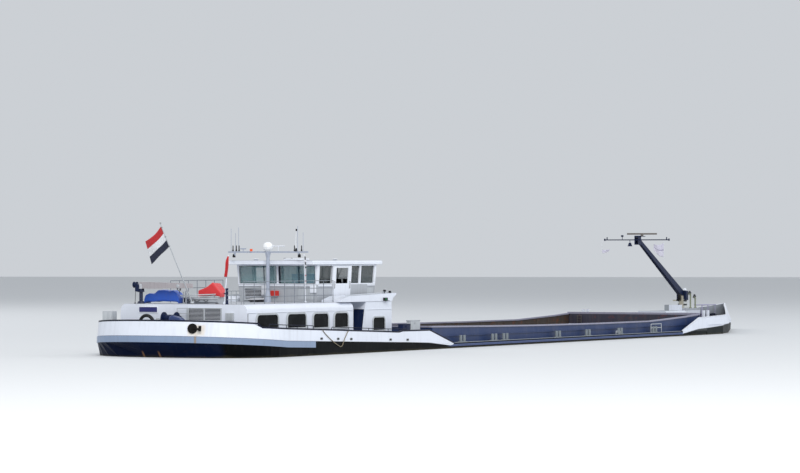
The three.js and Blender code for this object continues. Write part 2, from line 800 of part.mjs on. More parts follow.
// Wheelhouse mast with cross bar, radome and whips
const MAST = { station: 1047, bar: up(500), half: 232 };
function wheelhouseMast() {
  const x = at(MAST.station);
  const column = [
    rod([x, 0, ROOF + GAP], [x, 0, up(306)], 18, 10, 10),
    rod([x, 0, up(300)], [x, 0, MAST.bar + 2], 9, 10),
    rod([x, 0, up(470)], [x, 0, MAST.bar], 9, 10, 15),
    ball([x, 0, MAST.bar + 26], 25, 12, 8),
    rod([x, 0, MAST.bar], [x, 0, MAST.bar + 20], 12, 10),
    box(x - 4, x + 4, -MAST.half, MAST.half, MAST.bar - 4, MAST.bar + 4),
  ];
  // y, height above the bar and radius of each whip
  const whips = [
    [216, 118, 1.4],
    [190, 96, 1.4],
    [172, 124, 1.4],
    [-172, 128, 1.6],
    [-204, 98, 1.4],
  ].map(([y, height, radius]) => rod([x, y, MAST.bar], [x, y, MAST.bar + height], radius, 6));
  const lamps = [195, -178].map((y) => rod([x, y, MAST.bar - 3], [x, y, MAST.bar - 18], 5, 8));
  const scanner = [
    rod([x, 145, MAST.bar], [x, 145, MAST.bar + 16], 3, 6),
    rod([x, 128, MAST.bar + 17], [x, 162, MAST.bar + 17], 3, 6),
  ];
  const beacon = rod([x, 98, MAST.bar], [x, 98, MAST.bar + 16], 7, 8);
  return join(...column, ...whips, ...lamps, ...scanner, beacon);
}
piece('wheelhouse_mast', wheelhouseMast(), GREY);

// Deck crane on the aft roof: the boom is pinned over the column and lies level.
const CRANE = { station: 300, y: 267, top: up(314), pinRadius: 3, pivot: up(338), reach: 292 };
function craneColumn() {
  const { top, pinRadius, pivot } = CRANE;
  const cheek = (x) => box(x, x + 3.5, -11, 11, top - 2, pivot + 8);
  return join(
    rod([0, 0, ROOF + GAP], [0, 0, ROOF + 12], 20, 12, 14),
    rod([0, 0, ROOF + 10], [0, 0, top], 9, 10),
    box(-11, 11, -12, 12, top - 8, top),
    cheek(7.5),
    cheek(-11),
    rod([-9, 0, pivot], [9, 0, pivot], pinRadius, 8),
  );
}
const column = piece('crane_column', craneColumn(), NAVY);
column.position.set(at(CRANE.station), CRANE.y, 0);

function craneBoom() {
  const { pinRadius, reach } = CRANE;
  const half = 6.5;
  const frame = (y, low, high) => [
    [-half, y, low],
    [half, y, low],
    [half, y, high],
    [-half, y, high],
  ];
  const arm = loft([frame(7, -14, 16), frame(-50, -16, 16), frame(-reach, -11, 10)]);
  return cut(arm, rod([-half - 1, 0, 0], [half + 1, 0, 0], pinRadius + 0.4, 8));
}
const boom = piece('crane_boom', craneBoom(), GREY);
boom.position.set(at(CRANE.station), CRANE.y, CRANE.pivot);

// Boats and covers on the aft roof
function coveredBoat() {
  const low = ROOF + GAP;
  const outline = [
    [72, low],
    [264, low],
    [271, low + 20],
    [262, low + 42],
    [230, low + 48],
    [196, low + 66],
    [120, low + 67],
    [74, low + 50],
    [68, low + 26],
  ];
  return extrudeX(outline, at(330), at(384));
}
piece('blue_cover', coveredBoat(), BLUE_CLOTH);

const DINGHY_TOP = ROOF + 30;
function dinghy() {
  const low = ROOF + GAP;
  const middle = at(426);
  // y, and breadth as a share of the widest
  const sections = [
    [62, 0.75],
    [30, 1],
    [-70, 1],
    [-112, 0.55],
  ].map(([y, wide]) => [
    [middle - 48 * wide, y, low],
    [middle + 48 * wide, y, low],
    [middle + 62 * wide, y, DINGHY_TOP],
    [middle - 62 * wide, y, DINGHY_TOP],
  ]);
  return loft(sections);
}
piece('dinghy', dinghy(), GREY);

function redCover() {
  const low = DINGHY_TOP + GAP;
  const outline = [
    [2, low],
    [5, low + 34],
    [-30, low + 54],
    [-76, low + 72],
    [-98, low + 48],
    [-121, low + 24],
    [-117, low],
  ];
  return extrudeX(outline, at(400), at(472));
}
piece('red_cover', redCover(), RED_CLOTH);

// Flagstaff with its flag, raked over the stern
const STAFF = { foot: [at(305), -22, ROOF + 7], head: [at(34), -16, up(633)], radius: 3 };
function staffPoint(share) {
  return STAFF.foot.map((v, i) => v + (STAFF.head[i] - v) * share);
}
// An upright shoe on the roof under the foot of a raked pole
const shoe = ([x, y, z], radius) => rod([x, y, ROOF + GAP], [x, y, z + 5], radius, 8);
function flagstaff() {
  const pole = rod(STAFF.foot, STAFF.head, STAFF.radius, 8, 2);
  return join(shoe(STAFF.foot, 9), pole, ball(STAFF.head, 4, 8, 6));
}
piece('flagstaff', flagstaff(), GREY);

// The flag streams to port and droops a little.
const FLAG = { high: 0.965, low: 0.71, fly: 90, drop: 70, thick: 7, offset: 2.7 };
function flag() {
  const sections = [0, 1].map((far) =>
    [FLAG.low, FLAG.high].flatMap((share) => {
      const [x, staffY, z] = staffPoint(share);
      const y = staffY + FLAG.offset + far * FLAG.fly;
      const aft = x - far * 14;
      const ends = [
        [aft - FLAG.thick / 2, y, z - far * FLAG.drop],
        [aft + FLAG.thick / 2, y, z - far * FLAG.drop],
      ];
      return share === FLAG.low ? ends : ends.reverse();
    }),
  );
  return loft(sections);
}
piece('stern_flag', flag(), RED_CLOTH);

// Signal flag furled on its own pole
const SIGNAL = { foot: [at(276), -222, ROOF + 7], head: [at(296), -232, up(486)] };
function signalPoint(share) {
  return SIGNAL.foot.map((v, i) => v + (SIGNAL.head[i] - v) * share);
}
piece('signal_pole', join(rod(SIGNAL.foot, SIGNAL.head, 2.5, 8), shoe(SIGNAL.foot, 7)), WHITE);
function furledFlag() {
  const [a, b] = [signalPoint(0.56), signalPoint(0.97)];
  return rod([a[0], a[1] - 10.8, a[2]], [b[0], b[1] - 7.8, b[2]], 8, 8, 5);
}
piece('signal_flag', furledFlag(), RED_CLOTH);

// Foredeck
const LOW_HOUSE = { aft: 5700, fore: 6232, half: 98, top: up(136) };
// The plinth under the mast and vents is the raised fore part of the house.
const PLINTH = { aft: 6010, port: 50, top: up(149) };
function lowHouse() {
  const { aft, fore, half, top } = LOW_HOUSE;
  const slab = box(at(aft), at(fore), -half, half, FOREDECK + GAP, top);
  const house = common(slab, extrudeX(shouldered(half, FOREDECK, top, 12), at(aft), at(fore)));
  return join(house, box(at(PLINTH.aft), at(fore), -half, PLINTH.port, top - 20, PLINTH.top));
}
piece('fore_house', lowHouse(), WHITE);
piece('fore_locker', box(at(5940), at(5985), -82, 20, LOW_HOUSE.top + GAP, up(172)), GREY);

function windlass() {
  const x = at(6560);
  const z = FOREDECK + 34;
  return join(
    box(x - 30, x + 30, -60, 60, FOREDECK + GAP, FOREDECK + 8),
    box(x - 16, x + 16, -34, -26, FOREDECK + 6, z + 14),
    box(x - 16, x + 16, 26, 34, FOREDECK + 6, z + 14),
    rod([x, -72, z], [x, 72, z], 8, 10),
    rod([x, -58, z], [x, -42, z], 18, 12),
    rod([x, 42, z], [x, 58, z], 18, 12),
    rod([x, -20, z], [x, 20, z], 14, 12),
  );
}
piece('windlass', windlass(), NAVY);

// station, y and height of each vent pipe with its bent head
const VENTS = [
  [6111, -84, 101],
  [6187, -84, 79],
];
VENTS.forEach(([station, y, height], i) => {
  const [x, z] = [at(station), PLINTH.top + GAP];
  const pipe = join(
    rod([x, y, z], [x, y, z + height], 5, 10),
    rod([x, y, z], [x, y, z + 5], 10, 10),
    rod([x, y, z + height - 6], [x - 14, y, z + height + 4], 6.5, 10),
    rod([x - 10, y, z + height + 3], [x - 22, y, z + height - 12], 7, 10, 8),
  );
  piece(`vent_pipe_${i + 1}`, pipe, CREAM);
});

// Fore mast: pedestal, boom and level head
const PIVOT = { x: at(6177), z: up(246) };
const HEAD_PIN = { x: at(5500), z: up(580) };
function pedestal() {
  const { x, z } = PIVOT;
  const low = PLINTH.top + GAP;
  const cheek = (side) =>
    extrudeY(
      [
        [x - 26, low],
        [x + 26, low],
        [x + 15, z + 14],
        [x - 15, z + 14],
      ],
      side > 0 ? 15 : -21,
      side > 0 ? 21 : -15,
    );
  return join(
    cheek(1),
    cheek(-1),
    box(x - 34, x + 34, -30, 30, low, low + 8),
    rod([x, -26, z], [x, 26, z], 4, 8),
  );
}
piece('mast_pedestal', pedestal(), NAVY);

// The post stands to starboard of the boom, with a crutch under it for the lowered mast.
function restPost() {
  const x = PIVOT.x - 100;
  const low = PLINTH.top + GAP;
  return join(box(x - 11, x + 11, -46, -28, low, up(228)), box(x - 8, x + 8, -40, 20, up(194), up(202)));
}
piece('mast_rest_post', restPost(), CREAM);

// The boom is built along -X from its pivot, which sits near its upper side, and tilted up to the head pin.
const MAST_LENGTH = Math.hypot(HEAD_PIN.x - PIVOT.x, HEAD_PIN.z - PIVOT.z);
const MAST_TILT = Math.atan2(HEAD_PIN.z - PIVOT.z, PIVOT.x - HEAD_PIN.x);
function foreMast() {
  const square = (x, half, below, above) => [
    [x, -half, -below],
    [x, half, -below],
    [x, half, above],
    [x, -half, above],
  ];
  const arm = loft([square(0, 13, 34, 7), square(-60, 13, 34, 6), square(2 - MAST_LENGTH, 8, 13, 10)]);
  const foot = rod([0, -13, 0], [0, 13, 0], 14, 12);
  const tip = rod([-MAST_LENGTH, -8, 0], [-MAST_LENGTH, 8, 0], 11, 12);
  const bored = rod([0, -14, 0], [0, 14, 0], 4.4, 8);
  return cut(join(arm, foot, tip), bored, rod([-MAST_LENGTH, -9, 0], [-MAST_LENGTH, 9, 0], 3.4, 8));
}
const mast = piece('fore_mast', foreMast(), NAVY);
mast.position.set(PIVOT.x, 0, PIVOT.z);
mast.rotation.y = MAST_TILT;

// The head hangs on the pin, with its cross bar, lamps, horn and signal shape.
const BAR = { x: -24, half: 218 };
const SCANNER = { half: 100, x: 24, y: -14, z: 24 + GAP };
function mastHead() {
  const cheeks = [9, -14].map((y) => box(-28, 12, y, y + 5, -30, 24));
  const lamps = [-1, 1].flatMap((side) => [
    rod([BAR.x, side * BAR.half, -6], [BAR.x, side * BAR.half, 8], 5, 8),
    rod([BAR.x, side * (BAR.half - 16), 0], [BAR.x, side * (BAR.half - 16), 17], 3.5, 8),
  ]);
  return join(
    ...cheeks,
    box(-28, 12, -14, 14, 18, 26),
    box(-6, 40, -30, 2, 20, 24),
    rod([0, -12, 0], [0, 12, 0], 3, 8),
    box(BAR.x - 3, BAR.x + 3, -BAR.half, BAR.half, -3, 3),
    ...lamps,
    rod([BAR.x, 46, 0], [BAR.x, 46, -22], 2, 6),
    rod([BAR.x, 46, -18], [BAR.x, 46, -40], 7, 10, 15),
    rod([BAR.x, 98, 0], [BAR.x, 98, 22], 2, 6),
    rod([BAR.x - 8, 98, 24], [BAR.x + 8, 98, 24], 6, 8),
  );
}
const head = piece('mast_head', mastHead(), NAVY);
head.position.set(HEAD_PIN.x, 0, HEAD_PIN.z);

function scanner() {
  return join(
    rod([0, 0, 0], [0, 0, 10], 9, 10),
    box(-5, 5, -SCANNER.half, SCANNER.half, 8, 18),
  );
}
const radar = piece('radar_scanner', scanner(), WHITE);
radar.position.set(HEAD_PIN.x + SCANNER.x, SCANNER.y, HEAD_PIN.z + SCANNER.z);

// Stern anchor: a hawse flange flat on one facet of the leaning transom, with shank and arm outside it
const HAWSE = { facet: [2 / 12, 3 / 12], share: 0.75, height: up(139), flange: 24 };
function sternAnchor() {
  return join(
    rod([0, 0, 0], [-5, 0, 0], HAWSE.flange, 16),
    rod([-4, 0, 0], [-12, -34, -3], 5, 8),
    box(-15, -8, -46, -34, -14, 12),
  );
}
const anchor = piece('stern_anchor', sternAnchor(), BLACK);
const [inboard, outboard] = HAWSE.facet.map((share) => roundPoint(-share));
const facetTurn = Math.atan2(outboard[0] - inboard[0], inboard[1] - outboard[1]);
const [facetStation, facetY] = inboard.map((value, k) => value + (outboard[k] - value) * HAWSE.share);
const facetLow = onSternDeck(facetStation);
const facetLean = Math.atan(sternLean(facetStation) / (sternRail(facetStation) - facetLow));
const depth = (HAWSE.height - facetLow) * Math.tan(facetLean) - 3 * GAP;
anchor.rotation.set(0, facetLean, facetTurn, 'ZYX');
anchor.position.set(
  at(facetStation) + depth * Math.cos(facetTurn),
  facetY + depth * Math.sin(facetTurn),
  HAWSE.height,
);

// Rope that hangs over the starboard bulwark in one bight
const ROPE_SIZE = 4;
const ROPE_Y = -HALF - ROPE_SIZE / 2 - 0.6;
// station and height above the water
const ROPE_ROUTE = [
  [725, 122],
  [732, 116],
  [750, 104],
  [778, 88],
  [812, 71],
  [848, 55],
  [880, 43],
  [896, 38],
  [908, 38],
  [917, 43],
  [926, 54],
  [938, 71],
  [952, 88],
  [968, 105],
  [978, 112],
];
function rope() {
  const path = new THREE.CatmullRomCurve3(
    ROPE_ROUTE.map(([station, height]) => new THREE.Vector3(at(station), ROPE_Y, up(height))),
  );
  const section = new THREE.Shape();
  section.absarc(0, 0, ROPE_SIZE / 2, 0, 2 * Math.PI, false);
  const points = section.getPoints(8).slice(0, 8);
  const options = { steps: 32, extrudePath: path, bevelEnabled: false };
  return new THREE.ExtrudeGeometry(new THREE.Shape(points), options);
}
piece('side_rope', rope(), ROPE);

export default barge;
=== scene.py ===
# River barge scale model: materials, fittings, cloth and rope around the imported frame.
# Stations run forward from the stern and heights up from the water, in millimetres of the model.
import math
import random

import bmesh
import bpy
from mathutils import Matrix, Vector


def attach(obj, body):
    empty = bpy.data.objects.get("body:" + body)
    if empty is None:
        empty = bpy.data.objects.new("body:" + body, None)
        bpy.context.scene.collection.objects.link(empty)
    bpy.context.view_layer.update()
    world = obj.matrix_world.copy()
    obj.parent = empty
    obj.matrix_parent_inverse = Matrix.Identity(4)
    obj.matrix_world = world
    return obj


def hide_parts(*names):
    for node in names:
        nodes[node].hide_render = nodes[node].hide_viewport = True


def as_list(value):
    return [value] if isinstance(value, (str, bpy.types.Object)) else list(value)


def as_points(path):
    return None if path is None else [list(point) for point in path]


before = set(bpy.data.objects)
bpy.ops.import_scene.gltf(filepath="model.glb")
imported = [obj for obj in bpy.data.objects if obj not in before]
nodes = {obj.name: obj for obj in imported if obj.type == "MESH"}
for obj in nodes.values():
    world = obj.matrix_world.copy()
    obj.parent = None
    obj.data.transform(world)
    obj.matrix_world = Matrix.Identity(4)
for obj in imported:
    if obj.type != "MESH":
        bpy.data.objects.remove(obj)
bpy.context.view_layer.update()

MM = 0.001
WATER = 0.28
LENGTH = 6950
HALF = 500
STERN_ROUND = 400
FULLNESS = 2.3
ROOF = 250
ON_ROOF = ROOF + 0.4
AFTER_DECK = 98
HOUSE_SIDE = 358
SIDES = (("starboard", -1), ("port", 1))
HULL_NODES = ("stern_hull", "side_tank_port", "side_tank_starboard", "bow_hull")


def place(station, y, height):
    """The point of the frame at a station, a distance to port and a height above the water."""
    return Vector((station * MM - LENGTH * MM / 2, y * MM, WATER + height * MM))


def spot(point):
    """A point of the frame, given as one or as (station, y, height)."""
    return point if isinstance(point, Vector) else place(*point)


def along(table, station, column=1):
    """A column of a table of stations, with straight lines between its rows."""
    for a, b in zip(table, table[1:]):
        if station <= b[0]:
            share = min(1, max(0, (station - a[0]) / (b[0] - a[0])))
            return a[column] + (b[column] - a[column]) * share
    return table[-1][column]


# Rows of (station, half breadth) for the bow, and rows of (station, height) for the decks and rails
BOW_PLAN = [
    *((5415, 500), (5550, 498), (5650, 490), (5750, 477), (5850, 455), (5950, 418), (6050, 374)),
    *((6200, 311), (6400, 227), (6600, 143), (6800, 60), (6900, 24), (LENGTH, 9)),
]
STERN_DECK = [(0, 104), (STERN_ROUND, 77), (1500, 45), (1830, 37), (1960, 27)]
STERN_RAIL = [
    *((0, 174), (207, 160), (226, 141), (STERN_ROUND, 133), (700, 123)),
    *((1500, 95), (1540, 100), (1830, 98), (2090, 28)),
]
BOW_SHEER = [
    *((5040, 28), (5310, 104), (5560, 109), (5950, 114), (6300, 120)),
    *((6500, 130), (6700, 145), (6850, 158), (LENGTH, 169)),
]
# The line between the black side and the white paint
PAINT_LINE = [
    *((0, 104), (STERN_ROUND, 77), (1500, 45), (1830, 34), (2090, 12), (2100, 400), (5030, 400)),
    *((5040, 12), (5280, 37), (5520, 44), (5780, 54), (6050, 56), (LENGTH, 42)),
]
# Rise of the coamings' top edge over its lowest part
COAMING_RISE = [
    *((0, 20), (1960, 20), (2250, 16), (2600, 11), (3200, 4), (4000, 0), (4700, 0)),
    *((5195, 17), (5414, 28), (5416, 34), (5600, 34)),
]
# How far the bow rail lies in, and back, from the foot of its plating
BOW_TUMBLE = [(5040, 0.2), (5415, 8), (5700, 15), (6500, 17), (6800, 8), (LENGTH, 2)]
BOW_RAKE = [(6300, 0), (6500, 8), (6700, 34), (6850, 68), (LENGTH, 96)]
STERN_TUMBLE = 9


def half_breadth(station):
    if station < STERN_ROUND:
        left = 1 - station / STERN_ROUND
        return HALF * (1 - left**FULLNESS) ** (1 / FULLNESS)
    return along(BOW_PLAN, station)


def round_point(share):
    """A point of the round stern, with 0 on the centre line and 1 at the port side."""
    turn = abs(share) * math.pi / 2
    power = 2 / FULLNESS
    out = HALF * math.sin(turn) ** power
    return STERN_ROUND * (1 - max(0, math.cos(turn)) ** power), math.copysign(out, share)


# Camera at the photograph's viewing angle, long and nearly level
camera_data = bpy.data.cameras.new("camera")
camera_data.lens = 146.8
camera_data.sensor_width = 36
camera_data.clip_end = 200
camera = bpy.data.objects.new("camera", camera_data)
bpy.context.scene.collection.objects.link(camera)
bpy.context.scene.camera = camera
CAMERA_YAW = math.radians(28.7)
CAMERA_PITCH = math.radians(0.34)
camera.location = (-16.428, -8.418, 0.761)
camera.rotation_euler = (math.pi / 2 + CAMERA_PITCH, 0, CAMERA_YAW - math.pi / 2)


# Materials. A grain is the scale and detail of a noise, and the strength and distance of its bump
PAINT_GRAIN = (160, 2, 0.06, 0.0006)
SMOOTH_GRAIN = (120, 2, 0.04, 0.0005)


class Look:
    """A material in the making: nodes are added by type, and values or sockets go into their inputs."""

    def __init__(self, name, **settings):
        self.material = bpy.data.materials.new(name)
        self.material.use_nodes = True
        self.tree = self.material.node_tree
        self.tree.nodes.clear()
        self.shader = self.node("ShaderNodeBsdfPrincipled")
        output = self.node("ShaderNodeOutputMaterial")
        self.tree.links.new(self.shader.outputs[0], output.inputs[0])
        self.coords = self.node("ShaderNodeTexCoord").outputs["Object"]
        split = self.node("ShaderNodeSeparateXYZ", Vector=self.coords)
        self.x, self.y, self.z = split.outputs
        self.into(self.shader, settings)

    def node(self, kind, **inputs):
        """Adds a node. A name in lower case is a setting of it, and any other is an input."""
        made = self.tree.nodes.new(kind)
        self.into(made, inputs)
        return made

    def into(self, node, inputs):
        for name, value in inputs.items():
            if name[0].islower():
                setattr(node, name, value)
            else:
                self.plug(value, node.inputs[name.replace("_", " ")])

    def plug(self, value, socket):
        if isinstance(value, bpy.types.NodeSocket):
            self.tree.links.new(value, socket)
        elif socket.type == "RGBA" and len(value) == 3:
            socket.default_value = (*value, 1)
        else:
            socket.default_value = value

    def put(self, node, *values):
        """Fills a node's first inputs and gives its first output."""
        for socket, value in zip(node.inputs, values):
            self.plug(value, socket)
        return node.outputs[0]

    def math(self, operation, a, b=0.0):
        return self.put(self.node("ShaderNodeMath", operation=operation), a, b)

    def plus(self, a, b):
        return self.math("ADD", a, b)

    def minus(self, a, b):
        return self.math("SUBTRACT", a, b)

    def times(self, a, b, *more):
        product = self.math("MULTIPLY", a, b)
        return self.times(product, *more) if more else product

    def apart(self, value, middle):
        return self.math("ABSOLUTE", self.minus(value, middle))

    def height(self):
        """The height above the water in metres."""
        return self.minus(self.z, WATER)

    def step(self, value, low, high, start=0.0, end=1.0):
        """start below low and end above high, or the reverse if low is above high."""
        return self.put(self.node("ShaderNodeMapRange"), value, low, high, start, end)

    def within(self, value, low, high, soft=0.0006):
        rise = self.step(value, low - soft, low + soft)
        return self.times(rise, self.step(value, high + soft, high - soft))

    def mix(self, factor, a, b):
        node = self.node("ShaderNodeMix", data_type="RGBA")
        for index, value in ((0, factor), (6, a), (7, b)):
            self.plug(value, node.inputs[index])
        return node.outputs[2]

    def noise(self, scale, detail=3.0, roughness=0.55, stretch=(1, 1, 1), offset=(0, 0, 0)):
        moved = self.node("ShaderNodeMapping", Vector=self.coords, Scale=stretch, Location=offset)
        given = {"Vector": moved.outputs[0], "Scale": scale, "Detail": detail, "Roughness": roughness}
        return self.node("ShaderNodeTexNoise", **given).outputs["Fac"]

    def cells(self, scale):
        return self.node("ShaderNodeTexVoronoi", Vector=self.coords, Scale=scale).outputs["Distance"]

    def over(self, table, top=200):
        """How far the surface lies above the line that rows of (station, height) draw, in metres."""
        end = LENGTH * MM / 2
        ramp = self.node("ShaderNodeValToRGB", Fac=self.step(self.x, -end, end))
        stops = ramp.color_ramp.elements
        while len(stops) < len(table):
            stops.new(0.5)
        for stop, (station, height) in zip(stops, table):
            stop.position = (place(station, 0, 0).x + end) / (2 * end)
            stop.color = (min(height, top) / top,) * 3 + (1,)
        return self.minus(self.height(), self.times(ramp.outputs[0], top * MM))

    def facing(self):
        """The three parts of the surface's own direction."""
        geometry = self.node("ShaderNodeNewGeometry")
        return self.node("ShaderNodeSeparateXYZ", Vector=geometry.outputs["True Normal"]).outputs

    def bump(self, height, strength=0.3, distance=0.002):
        node = self.node("ShaderNodeBump", Strength=strength, Distance=distance, Height=height)
        self.plug(node.outputs[0], self.shader.inputs["Normal"])

    def roughen(self, low, high, scale=8.0):
        self.plug(self.step(self.noise(scale, 4), 0.3, 0.7, low, high), self.shader.inputs["Roughness"])

    def plates(self, spacing, strength=0.35):
        """Welded seams across the plating and the slight dents between the frames."""
        turn = self.math("MODULO", self.plus(self.x, 10.0), spacing)
        seam = self.within(turn, 0.004, 0.0065, 0.001)
        dents = self.noise(3.2, 2, 0.5, (2.2, 1, 1))
        self.bump(self.plus(self.times(seam, 0.3), dents), strength, 0.004)

    def finished(self, colour, rough=None, seams=None, grain=None):
        """The material, with its colour, range of roughness, and seams or grain."""
        self.plug(colour, self.shader.inputs["Base Color"])
        if rough:
            self.roughen(*rough)
        if seams:
            self.plates(*seams)
        if grain:
            scale, detail, strength, distance = grain
            self.bump(self.noise(scale, detail), strength, distance)
        return self.material


def srgb(red, green, blue):
    """A colour given in 0 to 255 as a display shows it."""
    shares = [v / 255 for v in (red, green, blue)]
    return tuple(s / 12.92 if s < 0.04045 else ((s + 0.055) / 1.055) ** 2.4 for s in shares)


def tint(colour, factor):
    return tuple(min(1, c * factor) for c in colour)


RUST = srgb(112, 62, 34)
GRIME = srgb(96, 90, 84)
WHITE = srgb(226, 231, 242)
TRIM_WHITE = srgb(232, 236, 244)
NAVY = srgb(18, 32, 66)
FORE_SIDE = srgb(24, 31, 32)
PIPE_BLACK = srgb(34, 36, 42)


def weather(look, colour, dirt=0.25, rust=0.0, scale=1.0):
    """Faded patches, grime in runs down the sides, and rust spots."""
    patches = look.step(look.noise(5 * scale, 4), 0.3, 0.7)
    faded = look.mix(patches, tint(colour, 0.92) if isinstance(colour, tuple) else colour, colour)
    runs = look.noise(9 * scale, 5, 0.6, (7, 7, 0.55))
    worn = look.mix(look.times(look.step(runs, 0.52, 0.75), dirt), faded, GRIME)
    if rust:
        spots = look.step(look.noise(26 * scale, 6, 0.7), 0.72 - 0.14 * rust, 0.76 - 0.1 * rust)
        tails = look.noise(14 * scale, 4, 0.6, (5, 5, 0.4), (3, 1, 2))
        tails = look.step(tails, 0.68 - 0.1 * rust, 0.85)
        worn = look.mix(look.times(look.math("MAXIMUM", spots, tails), 0.75), worn, RUST)
    return worn


def painted(name, colour, rough=0.42, dirt=0.25, rust=0.0, scale=1.0, spacing=None, metallic=0.0):
    gloss = 0.5 if max(colour) > 0.1 else 0.2
    look = Look(name, Metallic=metallic, Specular_IOR_Level=gloss)
    finish = {"seams": (spacing,)} if spacing else {"grain": PAINT_GRAIN}
    return look.finished(weather(look, colour, dirt, rust, scale), (rough - 0.08, rough + 0.14), **finish)


def rubbery(name, colour, rough=0.75):
    look = Look(name)
    worn = weather(look, colour, 0.35, 0, 3)
    return look.finished(worn, (rough - 0.1, rough + 0.1, 20), grain=(220, 3, 0.25, 0.0006))


def weave(name, pitch=0.0022, rough=0.8):
    """A cloth still without a colour, with a fine weave and a little sheen."""
    look = Look(name, Sheen_Weight=0.25, Sheen_Roughness=0.5)
    turns = 2 * math.pi / pitch
    warp = look.math("SINE", look.times(look.plus(look.x, look.y), turns))
    weft = look.math("SINE", look.times(look.minus(look.z, look.y), turns))
    look.bump(look.times(warp, weft), 0.3, 0.0005)
    look.plug(rough, look.shader.inputs["Roughness"])
    return look


def woven(name, colour, pitch, rough, worn):
    look = weave(name, pitch, rough)
    return look.finished(weather(look, colour, worn, 0, 4))


white = painted("white_paint", WHITE, 0.36, 0.1, spacing=0.62)
white_trim = painted("white_trim", TRIM_WHITE, 0.34, 0.12)
navy = painted("navy_paint", NAVY, 0.35, 0.2)
navy_rail = painted("navy_rail", srgb(14, 20, 42), 0.4, 0.15, 0.1, 2)
grey = painted("grey_paint", srgb(150, 156, 163), 0.45, 0.3, 0.15)
light_grey = painted("light_grey_paint", srgb(188, 193, 198), 0.45, 0.3, 0.2, 2)
dark_grey = painted("dark_grey_paint", srgb(62, 66, 72), 0.5, 0.35, 0.2)
cream = painted("cream_paint", srgb(172, 166, 150), 0.45, 0.35, 0.25, 2)
black_metal = painted("black_metal", srgb(24, 25, 28), 0.5, 0.3, 0.1)
red_paint = painted("red_paint", srgb(206, 44, 34), 0.4, 0.15)
green_paint = painted("green_paint", srgb(28, 110, 66), 0.4, 0.2)
steel = painted("scraped_steel", srgb(120, 116, 112), 0.38, 0.5, 0.5, metallic=0.75)
console_plastic = painted("console_plastic", srgb(58, 60, 64), 0.5, 0.15)
rubber = rubbery("black_rubber", srgb(28, 29, 31))
grey_rubber = rubbery("grey_rubber", srgb(170, 174, 180), 0.55)


def dark_glass():
    """Panes in front of an unlit room: dark, glossy, and paler where a curtain hangs behind."""
    look = Look("house_glass", IOR=1.5, Specular_IOR_Level=0.06, Roughness=0.12)
    folds = look.math("SINE", look.times(look.plus(look.x, look.y), 900.0))
    cloth = look.times(look.step(look.noise(14, 2), 0.5, 0.56), look.step(folds, -1.2, 1.4))
    return look.finished(look.mix(look.times(cloth, 0.035), srgb(9, 12, 14), srgb(150, 156, 160)))


def clear_glass():
    """Panes of the wheelhouse, tinted, with painted shade darkening the panes that face the sides of the
    barge.
    """
    look = Look("cabin_glass", IOR=1.5, Roughness=0.03, Specular_IOR_Level=0.5, Alpha=0.42)
    colour = srgb(126, 162, 168)
    smears = look.step(look.noise(7, 3, 0.6, (1, 1, 2)), 0.3, 0.75)
    # Panes facing the sides get a darker tone: painted shade.
    side_panes_shade = look.step(look.math("ABSOLUTE", look.facing()[1]), 0.6, 0.8)
    return look.finished(look.mix(side_panes_shade, look.mix(smears, colour, tint(colour, 1.25)), srgb(26, 40, 42)))


def hull_look():
    """Black or navy plating, white above the paint line, and bottom paint under the waterline."""
    look = Look("hull_paint", Specular_IOR_Level=0.06)
    height = look.height()
    upper = look.step(look.over(PAINT_LINE), 0.0004, 0.0012)
    transom = look.times(look.step(look.apart(look.y, 0.085), 0.425, 0.395), look.step(look.x, -2.95, -3.1))
    side = look.mix(transom, srgb(4, 7, 10), srgb(1, 14, 42))
    side = look.mix(look.step(look.x, 1.6, 1.9), side, FORE_SIDE)
    side = weather(look, side, 0.05, 0.12, 0.8)
    scum = look.step(look.plus(height, look.times(look.noise(10, 4), 0.02)), 0.022, 0.008)
    side = look.mix(look.times(scum, 0.55), side, srgb(70, 66, 48))
    aft = look.step(look.x, -3.35, -3.37)
    for run_y in (0.082, -0.008):
        run = look.times(look.step(look.apart(look.y, run_y), 0.007, 0.003), look.step(height, 0.034, 0.02))
        side = look.mix(look.times(run, aft, 0.6), side, srgb(150, 112, 78))
    bottom = weather(look, srgb(34, 28, 26), 0.5, 0.7, 0.7)
    side = look.mix(look.step(height, 0.0, -0.004), side, bottom)
    middle = look.times(look.step(look.x, -1.45, -1.4), look.step(look.x, 1.6, 1.58))
    edge = look.times(look.within(look.z, WATER + 0.0105, WATER + 0.0215), middle)
    side = look.mix(edge, side, weather(look, srgb(92, 106, 146), 0.4, 0.4, 2))
    paint = look.mix(upper, side, weather(look, WHITE, 0.14, 0.05))
    on_deck = look.times(look.step(look.facing()[2], 0.75, 0.85), look.step(height, 0.018, 0.0195))
    paint = look.mix(on_deck, paint, weather(look, srgb(78, 84, 96), 0.6, 0.45, 1.4))
    bollards = look.times(middle, look.step(height, 0.0284, 0.029))
    paint = look.mix(bollards, paint, weather(look, srgb(132, 140, 146), 0.4, 0.3, 3))
    return look.finished(paint, (0.36, 0.5), (0.62, 0.2))


def hold_look():
    look = Look("hold_steel", Metallic=0.35)
    scraped = weather(look, srgb(92, 80, 70), 0.6, 1.6, 0.5)
    streaks = look.step(look.noise(6, 6, 0.65, (0.35, 6, 1)), 0.45, 0.7)
    return look.finished(look.mix(streaks, scraped, srgb(126, 112, 96)), (0.45, 0.75), (0.31, 0.5))


def coaming_look():
    look = Look("coaming_paint")
    side = weather(look, srgb(24, 50, 98), 0.2, 0.1, 0.7)
    inner = weather(look, srgb(66, 58, 52), 0.5, 1.2, 0.7)
    across = look.math("ABSOLUTE", look.y)
    inside = look.times(look.step(across, 0.4365, 0.436), look.within(look.x, -1.5155, 1.9405))
    top = look.step(look.over(COAMING_RISE), 0.0895, 0.0903)
    edge = weather(look, srgb(148, 148, 168), 0.35, 0.25)
    return look.finished(look.mix(top, look.mix(inside, side, inner), edge), (0.36, 0.55), (0.42, 0.5))


ANCHOR_Y = -0.216


